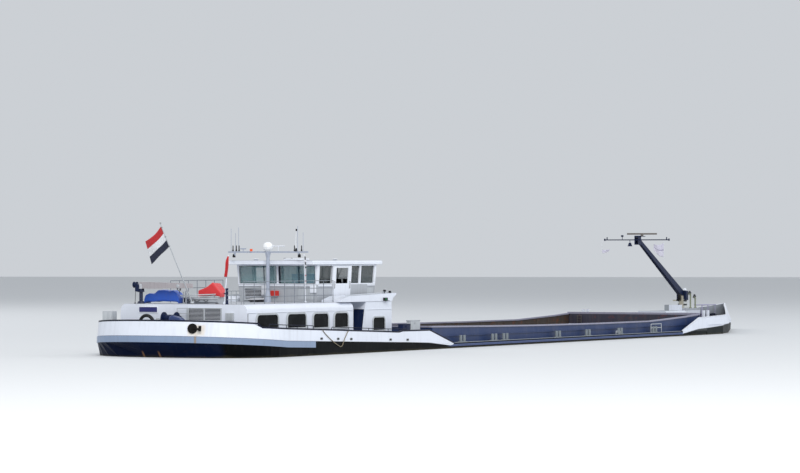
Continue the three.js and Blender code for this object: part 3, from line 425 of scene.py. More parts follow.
def bulwark_look():
    """White, with a rust run under the anchor and a stain round it."""
    look = Look("bulwark_paint")
    outside = weather(look, WHITE, 0.1, 0.0, 0.8)
    beside = look.apart(look.y, ANCHOR_Y)
    aft = look.step(look.x, -3.3, -3.32)
    ragged = look.times(look.noise(40, 3), 0.012)
    run = look.step(beside, look.plus(ragged, 0.004), look.plus(ragged, -0.003))
    run = look.times(run, look.times(aft, look.step(look.z, 0.4, 0.37)), 0.55)
    outside = look.mix(run, outside, srgb(150, 112, 70))
    from_anchor = look.math("ABSOLUTE", look.plus(look.height(), -0.131))
    halo = look.math("MAXIMUM", look.times(beside, 0.62), from_anchor)
    ring = look.step(look.plus(halo, look.times(look.noise(30, 3), 0.01)), 0.034, 0.026)
    outside = look.mix(look.times(ring, aft, 0.5), outside, srgb(226, 208, 178))
    return look.finished(outside, (0.28, 0.46), (0.62, 0.22))


def bow_bulwark_look():
    """White outside, black below the paint line, and grey inside."""
    look = Look("bow_bulwark_paint")
    outside = weather(look, WHITE, 0.14, 0.1, 0.8)
    inside = weather(look, srgb(176, 182, 190), 0.4, 0.2)
    outward = look.times(look.facing()[1], look.math("SIGN", look.y))
    outside = look.mix(look.step(look.over(PAINT_LINE), 0.0012, 0.0004), outside, FORE_SIDE)
    paint = look.mix(look.step(outward, 0.02, -0.02), outside, inside)
    return look.finished(paint, (0.3, 0.5), (0.62, 0.25))


def band_look():
    look = Look("band_paint")
    band = weather(look, srgb(134, 152, 180), 0.15, 0.05)
    beside = look.apart(look.y, ANCHOR_Y)
    run = look.times(look.step(beside, 0.007, 0.003), look.step(look.x, -3.3, -3.32), 0.7)
    return look.finished(look.mix(run, band, srgb(146, 118, 70)), (0.3, 0.46), (0.5, 0.2))


def roofed_look(name, roof_height):
    """White walls under a grey non-slip roof."""
    look = Look(name)
    walls = weather(look, WHITE, 0.08)
    roof = weather(look, srgb(176, 180, 188), 0.45, 0.1, 1.2)
    on_roof = look.step(look.z, roof_height - 0.0015, roof_height - 0.0006)
    return look.finished(look.mix(on_roof, walls, roof), (0.32, 0.5), (0.62, 0.16))


def cabin_wall_look():
    """White round the windows, and grey below them: the grey is painted shade."""
    look = Look("cabin_wall_white_and_painted_shade")
    # The grey below the sills is painted shade over the white wall.
    lower = look.step(look.z, WATER + 0.3372, WATER + 0.3366)
    paint = look.mix(lower, weather(look, TRIM_WHITE, 0.12), weather(look, srgb(174, 178, 184), 0.2))
    return look.finished(paint, (0.34, 0.5), grain=SMOOTH_GRAIN)


def locker_look():
    """Grey toward port and white from there on."""
    look = Look("locker_paint")
    starboard = look.step(look.y, -0.012, -0.0125)
    paint = look.mix(starboard, weather(look, srgb(150, 156, 162), 0.3), weather(look, WHITE, 0.2))
    return look.finished(paint, (0.36, 0.52), grain=SMOOTH_GRAIN)


def pedestal_look():
    """Navy round the hinge, white lower down with two dark bands."""
    look = Look("pedestal_paint")
    height = look.times(look.height(), 1000.0)
    bands = look.math("MAXIMUM", look.within(height, 190, 202, 0.5), look.within(height, 165, 175, 0.5))
    foot = look.mix(bands, weather(look, srgb(214, 216, 214), 0.3, 0.2, 2), srgb(22, 24, 30))
    paint = look.mix(look.step(height, 203.5, 204.5), foot, weather(look, NAVY, 0.2, 0, 2))
    return look.finished(paint, (0.36, 0.52))


def capped_look(name, body, cap, height):
    """One paint up to a height above the water, and another from there on."""
    look = Look(name)
    above = look.step(look.z, WATER + height - 0.0004, WATER + height + 0.0004)
    paint = look.mix(above, weather(look, body, 0.35, 0.25, 2), weather(look, cap, 0.3, 0.1, 2))
    return look.finished(paint, (0.38, 0.55), grain=PAINT_GRAIN)


def wheelhouse_mast_look():
    """Grey, with a white radome and an orange beacon."""
    look = Look("mast_paint")
    body = weather(look, srgb(166, 174, 190), 0.25, 0.05, 2)
    above = look.step(look.z, WATER + 0.5035, WATER + 0.5045)
    dome = look.times(above, look.step(look.math("ABSOLUTE", look.y), 0.027, 0.026))
    beacon = look.times(above, look.step(look.apart(look.y, 0.098), 0.009, 0.0085))
    paint = look.mix(beacon, look.mix(dome, body, srgb(236, 238, 240)), srgb(238, 92, 40))
    return look.finished(paint, (0.3, 0.5), grain=(120, 2, 0.05, 0.0005))


def bronze_look():
    look = Look("bronze", Metallic=0.9)
    tones = look.mix(look.step(look.noise(30, 4), 0.4, 0.7), srgb(176, 134, 72), srgb(104, 96, 62))
    return look.finished(tones, (0.28, 0.5, 30), grain=(90, 3, 0.15, 0.0008))


def floor_covering_look():
    look = Look("floor_covering", Roughness=0.7)
    look.bump(look.step(look.cells(90.0), 0.35, 0.25), 0.4, 0.0008)
    return look.finished(weather(look, srgb(74, 70, 66), 0.4, 0, 3))


def leather_look():
    look = Look("seat_leather")
    look.bump(look.cells(420.0), 0.3, 0.0005)
    return look.finished(weather(look, srgb(30, 30, 34), 0.2, 0, 4), (0.4, 0.6, 20))


def rope_look():
    look = Look("rope_fibre", Roughness=0.85)
    strands = look.math("SINE", look.plus(look.times(look.x, 2600.0), look.times(look.z, 2600.0)))
    look.bump(strands, 0.6, 0.0006)
    return look.finished(look.mix(look.step(strands, -0.6, 0.8), srgb(98, 88, 70), srgb(170, 160, 136)))


def show(look, *names):
    """Gives nodes of the frame their material."""
    for name in names:
        nodes[name].data.materials.clear()
        nodes[name].data.materials.append(look)


house_glass = dark_glass()
hold_paint = hold_look()
leather = leather_look()
VENT_CREAM = srgb(142, 148, 126)
show(hull_look(), *HULL_NODES)
show(hold_paint, "hold_bottom")
show(coaming_look(), "coaming_port", "coaming_starboard", "coaming_aft", "coaming_forward")
show(bulwark_look(), "stern_bulwark", "side_bulwark_port", "side_bulwark_starboard")
show(bow_bulwark_look(), "bow_bulwark_port", "bow_bulwark_starboard")
show(band_look(), "stern_band")
show(roofed_look("house_paint", WATER + ROOF * MM), "aft_house", "front_house")
show(white, "front_wing_port", "front_wing_starboard", "signal_pole")
show(roofed_look("fore_house_paint", WATER + 0.136), "fore_house")
show(roofed_look("cabin_roof_paint", WATER + 0.458), "wheelhouse_roof")
show(cabin_wall_look(), *(f"wheelhouse_wall_{side}" for side in ("starboard", "port", "aft", "forward")))
for side, _ in SIDES:
    show(white_trim, f"sliding_door_{side}")
    show(navy, f"entrance_door_{side}")
    show(painted(f"railing_paint_{side}", srgb(122, 128, 138), 0.4, 0.2, 0.1), f"roof_railing_{side}")
    show(dark_grey, f"rudder_{side}")
show(clear_glass(), "wheelhouse_glazing")
show(light_grey, "flagstaff")
show(painted("boom_paint", srgb(178, 172, 176), 0.42, 0.35, 0.15, 2), "crane_boom")
show(locker_look(), "fore_locker")
show(navy_rail, "windlass")
show(cream, "mast_rest_post")
show(navy, "fore_mast", "mast_head")
show(painted("scanner_plastic", srgb(118, 112, 108), 0.3, 0.15), "radar_scanner")
show(painted("anchor_iron", srgb(8, 6, 6), 0.6, 0.1, 0.2), "stern_anchor")
show(grey_rubber, "dinghy")
show(pedestal_look(), "mast_pedestal")
show(capped_look("vent_paint_1", VENT_CREAM, PIPE_BLACK, 0.149 + 0.094), "vent_pipe_1")
show(capped_look("vent_paint_2", VENT_CREAM, PIPE_BLACK, 0.149 + 0.072), "vent_pipe_2")
show(capped_look("crane_paint", NAVY, srgb(206, 208, 214), 0.322), "crane_column")
show(wheelhouse_mast_look(), "wheelhouse_mast")
show(bronze_look(), "propeller")
show(floor_covering_look(), "wheelhouse_floor")
show(console_plastic, "helm_console")
show(leather, "helm_seat")


def linked(name, mesh, look):
    """The object of a finished bmesh."""
    data = bpy.data.meshes.new(name)
    mesh.to_mesh(data)
    mesh.free()
    data.materials.append(look)
    made = bpy.data.objects.new(name, data)
    bpy.context.scene.collection.objects.link(made)
    return made


def piece_of(name, mesh, look, slot, body="hull"):
    piece = linked(name, mesh, look)
    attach(piece, body)
    return piece


def modify(piece, name, kind, **settings):
    modifier = piece.modifiers.new(name, kind)
    for setting, value in settings.items():
        setattr(modifier, setting, value)


def axes(axis):
    """A direction and two others at right angles to it."""
    axis = Vector(axis).normalized()
    across = axis.orthogonal().normalized()
    return axis, across, axis.cross(across)


def neighbours(points):
    return zip([points[0], *points], points, [*points[1:], points[-1]])


def rounded(u0, u1, v0, v1, top, bottom=None, steps=5):
    """The outline of a rectangle whose upper and lower corners have their own radii."""
    bottom = top if bottom is None else bottom
    corners = [
        (u1 - bottom, v0 + bottom, bottom, -90),
        (u1 - top, v1 - top, top, 0),
        (u0 + top, v1 - top, top, 90),
        (u0 + bottom, v0 + bottom, bottom, 180),
    ]
    outline = []
    for cu, cv, radius, start in corners:
        for k in range(steps + 1):
            a = math.radians(start + 90 * k / steps)
            outline.append((cu + max(radius, 1e-4) * math.cos(a), cv + max(radius, 1e-4) * math.sin(a)))
    return outline


class Shape:
    """A mesh made of simple forms. A point is (station, y, height) or a point of the frame, radii are in mm
    and bevels in metres."""

    def __init__(self):
        self.mesh = bmesh.new()

    def ring(self, points):
        return [self.mesh.verts.new(point) for point in points]

    def circle(self, centre, across, over, radius, sides):
        turns = [2 * math.pi * k / sides for k in range(sides)]
        size = radius * MM
        return self.ring(centre + across * size * math.cos(a) + over * size * math.sin(a) for a in turns)

    def skin(self, rings):
        for a, b in zip(rings, rings[1:]):
            for k in range(len(a)):
                n = (k + 1) % len(a)
                self.mesh.faces.new([a[k], a[n], b[n], b[k]])

    def closed(self, rings):
        """The skin between the rings, and a face over each end."""
        self.skin(rings)
        self.mesh.faces.new(rings[0][::-1])
        self.mesh.faces.new(rings[-1])

    def block(self, corners):
        """Six faces between the four corners of one face and the four of another."""
        made = self.ring(corners)
        for face in ((0, 1, 2, 3), (7, 6, 5, 4), (0, 4, 5, 1), (1, 5, 6, 2), (2, 6, 7, 3), (3, 7, 4, 0)):
            self.mesh.faces.new([made[i] for i in face])

    def box(self, low, high, bevel=0.0, turn=None):
        low, high = spot(low), spot(high)
        size = Matrix.Diagonal((*map(abs, high - low), 1))
        matrix = Matrix.Translation((low + high) / 2) @ (turn or Matrix()) @ size
        made = bmesh.ops.create_cube(self.mesh, size=1, matrix=matrix)["verts"]
        if bevel:
            edges = list(dict.fromkeys(e for v in made for e in v.link_edges))
            bmesh.ops.bevel(self.mesh, geom=edges, offset=bevel, segments=2, affect="EDGES", profile=0.7)

    def tube(self, points, radius, sides=8):
        points = [spot(p) for p in points]
        across = (points[1] - points[0]).orthogonal()
        rings = []
        for before, point, after in neighbours(points):
            ahead = (after - before).normalized()
            across = (across - ahead * across.dot(ahead)).normalized()
            rings.append(self.circle(point, across, ahead.cross(across), radius, sides))
        self.closed(rings)

    def post(self, station, y, low, high, radius, sides=8):
        self.tube([(station, y, low), (station, y, high)], radius, sides)

    def turned(self, profile, centre, axis=(0, 0, 1), sides=16):
        """A profile of (radius, height) rows turned about an axis through centre."""
        axis, across, over = axes(axis)
        rows = [(spot(centre) + axis * height * MM, max(radius, 0.01)) for radius, height in profile]
        self.closed([self.circle(middle, across, over, radius, sides) for middle, radius in rows])

    def torus(self, centre, axis, radius, thick, sides, section):
        axis, across, over = axes(axis)
        rings = []
        for k in range(sides):
            turn = 2 * math.pi * k / sides
            out = across * math.cos(turn) + over * math.sin(turn)
            rings.append(self.circle(spot(centre) + out * radius * MM, out, axis, thick, section))
        self.skin([*rings, rings[0]])

    def plate(self, outline, surface, high, hole=None, low=0.15):
        """An outline of pairs on a surface, thick from low to high along the way out."""
        at, out = surface

        def ring(pairs, lift):
            return self.ring(at(*pair) + out * lift * MM for pair in pairs)

        back, front = ring(outline, low), ring(outline, high)
        if hole:
            self.skin([back, front])
            self.skin([front, ring(hole, high), ring(hole, low), back])
        else:
            self.closed([back, front])

    def panel(self, surface, u0, u1, v0, v1, radius, high, low=0.15):
        """A plate with rounded corners."""
        self.plate(rounded(u0, u1, v0, v1, radius), surface, high, low=low)

    def done(self, name, look, slot, body="hull", sharp=35.0, bevel=0.0):
        bmesh.ops.remove_doubles(self.mesh, verts=self.mesh.verts, dist=1e-6)
        bmesh.ops.recalc_face_normals(self.mesh, faces=self.mesh.faces)
        for edge in self.mesh.edges:
            edge.smooth = len(edge.link_faces) == 2 and edge.calc_face_angle(0) < math.radians(sharp)
        for face in self.mesh.faces:
            face.smooth = True
        piece = piece_of(name, self.mesh, look, slot, body)
        if bevel:
            modify(piece, "edges", "BEVEL", width=bevel, segments=2, limit_method="ANGLE")
        return piece


def bar_along(points, half_width, low, high, name, look, slot):
    """A flat bar that follows a line of frame points and lies across the plate's edge."""
    shape = Shape()
    rings = []
    for before, point, after in neighbours(points):
        ahead = after - before
        side = Vector((-ahead.y, ahead.x, 0)).normalized() * half_width
        section = ((-1, low), (-1, high), (1, high), (1, low))
        rings.append(shape.ring(point + side * way + Vector((0, 0, z)) for way, z in section))
    shape.closed(rings)
    shape.done(name, look, slot, bevel=0.0008)


# Rope over the starboard bulwark, with its route in rows of (station, height)
ROPE_SIZE = 0.004
ROPE_Y = -HALF - 2 - 0.6
ROPE_ROUTE = [
    *((725, 122), (732, 116), (750, 104), (778, 88), (812, 71), (848, 55), (880, 43), (896, 38)),
    *((908, 38), (917, 43), (926, 54), (938, 71), (952, 88), (968, 105), (978, 112)),
]


def smooth_route(points, steps=6):
    """A Catmull-Rom curve through the points."""
    padded = [points[0] * 2 - points[1], *points, points[-1] * 2 - points[-2]]
    out = []
    for a, b, c, d in zip(padded, padded[1:], padded[2:], padded[3:]):
        for t in (k / steps for k in range(steps)):
            square, cube = (2 * a - 5 * b + 4 * c - d) * t * t, (3 * b - a - 3 * c + d) * t * t * t
            out.append(0.5 * (2 * b + (c - a) * t + square + cube))
    return [*out, points[-1]]


def route_length(points):
    return sum((b - a).length for a, b in zip(points, points[1:]))


rope_path = smooth_route([place(s, ROPE_Y, h) for s, h in ROPE_ROUTE])
rope_shape = Shape()
rope_shape.tube(rope_path, ROPE_SIZE / 2 / MM, 10)
rope = rope_shape.done("mooring_line", rope_look(), "rope_fibre", sharp=60)
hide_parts("side_rope")
tuple(rope_path[0])
round(route_length(rope_path), 3)
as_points(rope_path)


# Caps on the bulwarks


def facet_points(steps=12, facet=8, share=0.56):
    """The stern bulwark's corners from port to starboard, with the two where its rail steps down."""
    points = [round_point(k / steps) for k in range(steps, -steps - 1, -1)]
    for way in (1, -1):
        a, b = round_point(way * facet / steps), round_point(way * (facet + 1) / steps)
        middle = tuple(u + (v - u) * share for u, v in zip(a, b))
        points.insert(points.index(a if way > 0 else b), middle)
    return points


def stern_edge(inset=3.0):
    """The top of the stern bulwark, from the end of the port side to the end of the starboard side."""
    corners = [(s, HALF) for s in (2088, 1830, 1540, 1500, 1100, 700)]
    path = [*corners, *facet_points(), *((s, -y) for s, y in reversed(corners))]
    line = []
    for before, (station, y), after in zip([(2100, HALF), *path], path, [*path[1:], (2100, -HALF)]):
        run = Vector((after[0] - before[0], after[1] - before[1])).normalized()
        depth = inset + STERN_TUMBLE * max(0, 1 - (station / STERN_ROUND) ** 2)
        line.append(place(station - run.y * depth, y + run.x * depth, along(STERN_RAIL, station)))
    return line


bar_along(stern_edge(), 0.0042, -0.0018, 0.0056, "stern_rail_cap", navy_rail, "navy_paint")
BOW_STATIONS = [
    *(5048, 5180, 5310, 5415, 5550, 5650, 5750, 5850, 5950),
    *(6200, 6400, 6600, 6700, 6800, 6880, 6946),
]
for name, side in SIDES:
    rail = []
    for station in BOW_STATIONS:
        breadth = half_breadth(station) - along(BOW_TUMBLE, station) - 3
        rail.append(place(station - along(BOW_RAKE, station), side * breadth, along(BOW_SHEER, station)))
    bar_along(rail, 0.005, 0.0002, 0.0036, f"bow_rail_cap_{name}", white_trim, "white_paint")

# Surfaces: the way from a pair of lengths to a point of the wall, and the way out of the wall
CABIN_FOOT = 250.6
CABIN_LEAN = 11 / 186.4
CABIN_TOP = 458.2
# Lower and upper edges of the cabin's panes, the bars between them, its sills and its panels
PANE, BAR, SILL, PANEL = (342, 431), (343, 430), (328, 335), (262, 318)


def side_wall(side, y=HOUSE_SIDE):
    return (lambda s, h: place(s, side * y, h)), Vector((0, side, 0))


def cabin_side(side):
    return (lambda s, h: place(s, side * (225 + (h - CABIN_FOOT) * CABIN_LEAN), h)), Vector((0, side, 0))


def cabin_end(station, ahead):
    return (lambda y, h: place(station + ahead * (h - CABIN_FOOT) * CABIN_LEAN, y, h)), Vector((ahead, 0, 0))


house_end = (lambda y, h: place(260, y, h)), Vector((-1, 0, 0))
aft_cabin, fore_cabin = cabin_end(1145, -1), cabin_end(1730, 1)


def windows(name, openings, frame_look, pane_look=None):
    """Frames, seals and panes. An opening has a surface, four edges, the radii of its upper and lower
    corners, and how wide and how proud its frame is."""
    frames, seals, panes = Shape(), Shape(), Shape()
    for surface, (u0, u1, v0, v1), top, bottom, width, proud in openings:
        outer = rounded(u0 - width, u1 + width, v0 - width, v1 + width, top + width, bottom + 3)
        inner = rounded(u0, u1, v0, v1, top, bottom)
        clear = rounded(u0 + 2.2, u1 - 2.2, v0 + 2.2, v1 - 2.2, max(top - 2, 1), max(bottom - 2, 1))
        frames.plate(outer, surface, proud, inner)
        seals.plate(inner, surface, proud * 0.6, clear)
        panes.plate(inner, surface, proud * 0.35)
    frames.done(f"{name}_frames", frame_look, "white_paint", bevel=0.0007)
    seals.done(f"{name}_seals", rubber, "black_iron")
    if pane_look:
        panes.done(f"{name}_panes", pane_look, "tinted_glass")


HOUSE_WINDOWS = [(346, 538, 137, 198), (630, 804, 133, 198), (879, 1022, 129, 196), (1087, 1219, 127, 196)]
for name, side in SIDES:
    row = [(side_wall(side), edges, 20, 4, 9, 6.5) for edges in HOUSE_WINDOWS]
    row.append((side_wall(side), (1482, 1600, 105, 168), 16, 4, 8, 5))
    windows(f"house_windows_{name}", row, light_grey, house_glass)

# Louvres, each with a number of sloping slats in front of a black back plate that is painted shade
LOUVRES = (
    (house_end, -116, -28, 173, 228, 9),
    (house_end, -213, -124, 173, 228, 9),
    (aft_cabin, 84, 190, 262, 316, 8),
)
frames, slats, shade_plates = Shape(), Shape(), Shape()
for (at, out), u0, u1, v0, v1, count in LOUVRES:
    opening = rounded(u0, u1, v0, v1, 1)
    frames.plate(rounded(u0 - 5, u1 + 5, v0 - 5, v1 + 5, 2), (at, out), 6, opening)
    # A black plate behind the slats stands in for the shade inside the louvre: painted shade.
    shade_plates.plate(opening, (at, out), 0.6)
    pitch = (v1 - v0) / count
    for k in range(count):
        foot, head = v0 + pitch * (k + 0.1), v0 + pitch * (k + 0.48)
        edges = ((foot, 5), (head, 0.8), (head, 1.8), (foot + 1, 5.6))
        slats.block(at(u, v) + out * lift * MM for u in (u0, u1) for v, lift in edges)
frames.done("louvre_frames", light_grey, "grey_paint", bevel=0.0006)
slats.done("louvre_slats", white_trim, "grey_paint")
shade_plates.done("louvre_shade_plates", black_metal, "black_iron")

# Mouldings round the house, the plain plate on its after wall and a vent box
board, trim, vent_box = Shape(), Shape(), Shape()
board.panel(house_end, 147, 250, 210, 234, 3, 2.5)
board_blue = painted("board_paint", srgb(36, 40, 108), 0.4, 0.15)
board.done("bare_name_board", board_blue, "navy_paint", bevel=0.0008)
trim.plate(rounded(144, 253, 207, 237, 4), house_end, 3.4, rounded(147, 250, 210, 234, 3))
for _, side in SIDES:
    wall = side_wall(side)
    for start, end in ((262, 1279), (1412, 1678)):
        trim.panel(wall, start, end, 208.5, 211.5, 1, 2.4)
    for station in (262, 1278, 1677):
        trim.panel(wall, station - 1.5, station + 1.5, along(STERN_DECK, station) + 1, 208, 0.8, 1.4)
trim.done("house_mouldings", white_trim, "white_paint", bevel=0.0006)
vent_box.box((248, -287, 171), (259.7, -244, 210), 0.0015)
for k in range(5):
    vent_box.box((246.4, -282, 176 + 6.5 * k), (248.2, -249, 178.5 + 6.5 * k), 0.0004)
vent_box.done("vent_box", light_grey, "grey_paint")

# Rails over the dips of the stern bulwark in rows of (station, height), scupper openings shown as black
# plates of painted shade, and the roof's after rail
DIP_RAILS = (
    [(272, 158), (330, 155), (400, 152), (500, 149), (600, 146), (650, 144)],
    [(835, 134), (1000, 128), (1200, 121), (1400, 114), (1590, 109)],
)
for name, side in SIDES:
    rails, scupper_shade, rims = Shape(), Shape(), Shape()
    for table in DIP_RAILS:
        tops = [place(s, side * (half_breadth(s) - 8), h) for s, h in table]
        feet = [along(STERN_RAIL, s) for s, _ in table]
        start = place(table[0][0] - 8, tops[0].y / MM, feet[0] + 4)
        end = place(table[-1][0] + 10, tops[-1].y / MM, feet[-1] + 4)
        rails.tube([start, *tops, end], 1.9, 10)
        for (station, _), top, foot in list(zip(table, tops, feet))[1:-1]:
            rails.tube([place(station, top.y / MM, foot + 3), top], 1.6)
    rails.done(f"bulwark_rails_{name}", navy_rail, "navy_paint", sharp=50)
    plating = side_wall(side, HALF)
    for station in (718, 880, 1009, 1410, 1589):
        low = along(STERN_DECK, station) + 8
        hole = rounded(station - 12, station + 12, low, low + 9, 4)
        # Each scupper opening is a black plate on the plating: painted shade in the hole.
        scupper_shade.plate(hole, plating, 0.5)
        rims.plate(rounded(station - 14.5, station + 14.5, low - 2.5, low + 11.5, 6), plating, 1.3, hole)
    scupper_shade.done(f"scuppers_{name}", black_metal, "black_iron")
    rims.done(f"scupper_rims_{name}", light_grey, "white_paint")

edge_rail = Shape()
for height in (22, 43, 64):
    edge_rail.tube([(272, y, ROOF + height) for y in (-320, -232)], 1.7)
for y in (-320, -291, -262, -233):
    edge_rail.post(272, y, 250.2, 315, 1.9)
edge_rail.done("roof_edge_rail", grey, "grey_paint", sharp=50)


# Cloth


def cloth_look(name, bands, axis=1, worn=0.2):
    """Woven cloth in bands of (start, colour) along an axis of the sheet's grid."""
    look = weave(name)
    grid = look.node("ShaderNodeUVMap", uv_map="grid").outputs[0]
    share = look.node("ShaderNodeSeparateXYZ", Vector=grid).outputs[axis]
    colour = weather(look, bands[0][1], worn, 0, 3)
    for start, band in bands[1:]:
        edge = look.step(share, start - 0.006, start + 0.006)
        colour = look.mix(edge, colour, weather(look, band, worn, 0, 3))
    return look.finished(colour)


def grid_points(point, columns, rows):
    return [[point(i / columns, j / rows) for j in range(rows + 1)] for i in range(columns + 1)]


def sheet_mesh(name, point, columns, rows, look, slot, thick=0.8, body="hull"):
    """A cloth of columns by rows, with point(u, v) for u and v from 0 to 1, and a UV map of its grid."""
    mesh = bmesh.new()
    layer = mesh.loops.layers.uv.new("grid")
    grid = [[mesh.verts.new(at) for at in column] for column in grid_points(point, columns, rows)]
    for i in range(columns):
        for j in range(rows):
            corners = ((i, j), (i + 1, j), (i + 1, j + 1), (i, j + 1))
            face = mesh.faces.new([grid[a][b] for a, b in corners])
            face.smooth = True
            for loop, (a, b) in zip(face.loops, corners):
                loop[layer].uv = (a / columns, b / rows)
    piece = piece_of(name, mesh, look, slot, body)
    modify(piece, "thickness", "SOLIDIFY", thickness=thick * MM, offset=0)
    return piece


def flat_size(point, columns=40, rows=40):
    """The mean lengths of the cloth along its rows and along its columns."""
    grid = grid_points(point, columns, rows)
    high = sum(route_length(column) for column in grid) / len(grid)
    wide = sum(route_length(row) for row in zip(*grid)) / (rows + 1)
    return round(wide, 3), round(high, 3)


# Ensign on the stern staff: red over white over blue, streaming to port in soft waves
STAFF_FOOT, STAFF_HEAD = place(305, -22, 257), place(34, -16, 633)


def ensign_point(u, v):
    """u runs out from the staff and v down the hoist."""
    hoist = STAFF_FOOT.lerp(STAFF_HEAD, 0.965 - 0.255 * v)
    belly = math.sin(math.pi * u)
    sag = (70 + 19 * v) * u + 12 * belly * (1 - 0.4 * v) - 9 * belly * v
    wave = math.sin(2 * math.pi * (1.15 * u + 0.18 * v)) * 3.2 * min(1, 3 * u)
    out = 3.6 + 88 * u * (1 - 0.02 * v)
    tail = -8 * u * u * (1 - v) + 5 * u * u * v
    return hoist + Vector((-14 * u + wave, out + tail, -sag + 6 * u * u * v)) * MM


TRICOLOUR = ((0, srgb(186, 34, 40)), (1 / 3, srgb(226, 228, 232)), (2 / 3, srgb(22, 30, 56)))
ensign_look = cloth_look("ensign_cloth", TRICOLOUR, worn=0.15)
ensign = sheet_mesh("ensign", ensign_point, 44, 30, ensign_look, "flag_cloth")
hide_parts("stern_flag")
flat_size(ensign_point)
ties = Shape()
for share in (0.955, 0.84, 0.72):
    ties.torus(STAFF_FOOT.lerp(STAFF_HEAD, share), STAFF_HEAD - STAFF_FOOT, 3.1, 0.7, 14, 6)
ties.turned([(9, 0.2), (9, 3), (5, 5), (4.5, 16), (5.5, 16), (5.5, 19)], (305, -22, 250))
ties.turned([(0.5, 0), (4.2, 1.2), (4.4, 3), (2.5, 5), (0.4, 5.6)], STAFF_HEAD, sides=14)
ties.done("staff_fittings", steel, "grey_paint")


def folded(name, foot, head, width, folds, look, slot, on, replaced=(), lean=0.0, spread_low=0.0):
    """A flag furled in close folds beside its pole."""

    def point(u, v):
        swell = 0.55 + 0.45 * math.sin(math.pi * min(1, v * 1.15 + 0.08)) + 0.12 * math.sin(9 * v)
        reach = width * swell * (1 + spread_low * v)
        turn = (u - 0.5) * 2.2 + 0.5 * math.sin(3 * v) + lean
        spread = (0.35 + 0.65 * abs((u * folds % 2) - 1)) * reach
        out = Vector((math.sin(turn) * spread, -3 - math.cos(turn) * spread * 0.9, 0))
        return foot.lerp(head, 1 - v) + out * MM

    piece = sheet_mesh(name, point, folds * 6, 26, look, slot, 0.6)
    if replaced:
        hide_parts(*replaced)
    wide, high = flat_size(point, folds * 6, 26)
    list(on)


SIGNAL_FOOT, SIGNAL_HEAD = place(276, -222, 257), place(296, -232, 486)
SIGNAL_RED = srgb(196, 30, 38)
red_white = cloth_look("signal_cloth", ((0, SIGNAL_RED), (0.46, srgb(226, 226, 232)), (0.5, SIGNAL_RED)), 0)
low, high = SIGNAL_FOOT.lerp(SIGNAL_HEAD, 0.54), SIGNAL_FOOT.lerp(SIGNAL_HEAD, 0.97)
signal_hold = {"on": ("signal_pole",), "replaced": ("signal_flag",)}
folded("furled_signal", low, high, 10, 7, red_white, "red_cloth", lean=-2.2, spread_low=1.5, **signal_hold)
socket_post = Shape()
socket_rows = [(9, 0), (9, 2.5), (6.4, 4), (6.4, 70), (7.2, 71), (7.2, 76), (3, 77)]
socket_post.turned(socket_rows, (276, -236, 250.2))
socket_post.box((273, -238, 300), (279, -219, 305), 0.001)
socket_post.done("signal_socket", navy, "navy_paint", bevel=0.0006)

# White and red pole beside the wheelhouse
pole_foot, pole_head = place(1048, -217, 250.3), place(1034, -217, 485)
pole = Shape()
pole.tube([pole_foot, pole_head], 2, 10)
pole.turned([(8, 0), (8, 3), (3, 5)], pole_foot, sides=14)
pole.turned([(0.5, -1), (3.4, 0), (3.6, 3), (0.5, 5)], pole_head, sides=12)
pole.done("halyard_pole", white_trim, "white_paint")
PENNANT_BANDS = [(0, 34), (0.12, 225), (0.2, 34), (0.3, 225), (0.36, 34), (0.42, 228)]
PENNANT_RED, PENNANT_WHITE = srgb(196, 60, 62), srgb(226, 226, 230)
pennant_bands = [(start, srgb(level, level, level + 6)) for start, level in PENNANT_BANDS]
pennant_bands += [(0.66, PENNANT_RED), (0.7, PENNANT_WHITE), (0.86, PENNANT_RED), (0.9, PENNANT_WHITE)]
pennant_look = cloth_look("pennant_cloth", pennant_bands)
low, high = pole_foot.lerp(pole_head, 0.38), pole_foot.lerp(pole_head, 0.97)
folded("furled_pennant", low, high, 7, 5, pennant_look, "flag_cloth", on=["halyard_pole"])


# Tarpaulins: a cloth that is pulled over a load and drops down its sides, with sags between high points


def tarpaulin(name, ridge, stations, low, look, slot, replaced, rests, creases, seed, cut_share=1.0):
    """ridge gives rows of (y, height) across the top. cut_share, the share left with the corners cut off, is
    not used.
    """
    picker = random.Random(seed)
    waves = [(picker.uniform(3, 9), picker.uniform(3, 11), picker.uniform(0, 6.28)) for _ in range(9)]
    total = [0.0]
    for a, b in zip(ridge, ridge[1:]):
        total.append(total[-1] + math.dist(a, b))
    lengths = [(run, *row) for run, row in zip(total, ridge)]
    middle, half = sum(stations) / 2, (stations[1] - stations[0]) / 2
    tall = max(1, max(h for _, h in ridge) - low)

    def point(u, v):
        span = 2 * u - 1
        flat = 1 - max(0, abs(span) - 0.62) / 0.38
        y, height = (along(lengths, v * total[-1], column) for column in (1, 2))
        rise = (height - low) * (0.12 + 0.88 * math.sin(flat * math.pi / 2) ** 0.8)
        reach = half * (0.97 * math.copysign(min(1, abs(span) / 0.72), span) + 0.03 * span)
        ripple = creases * sum(math.sin(a * u * 2 + b * v * 2 + c) for a, b, c in waves) / len(waves)
        height = low + rise + ripple * (0.35 + rise / tall)
        pull = 1 - 0.05 * (1 - rise / tall) * (0.5 + 0.5 * math.sin(9 * v + 4 * u))
        return place(middle + reach * pull, y + ripple * 0.4, max(low + 0.5, height))

    piece = sheet_mesh(name, point, 46, 60, look, slot, 0.9)
    modify(piece, "soft", "SMOOTH", iterations=3)
    if replaced:
        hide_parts(replaced)
    wide, high = flat_size(point, 46, 60)
    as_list(rests)


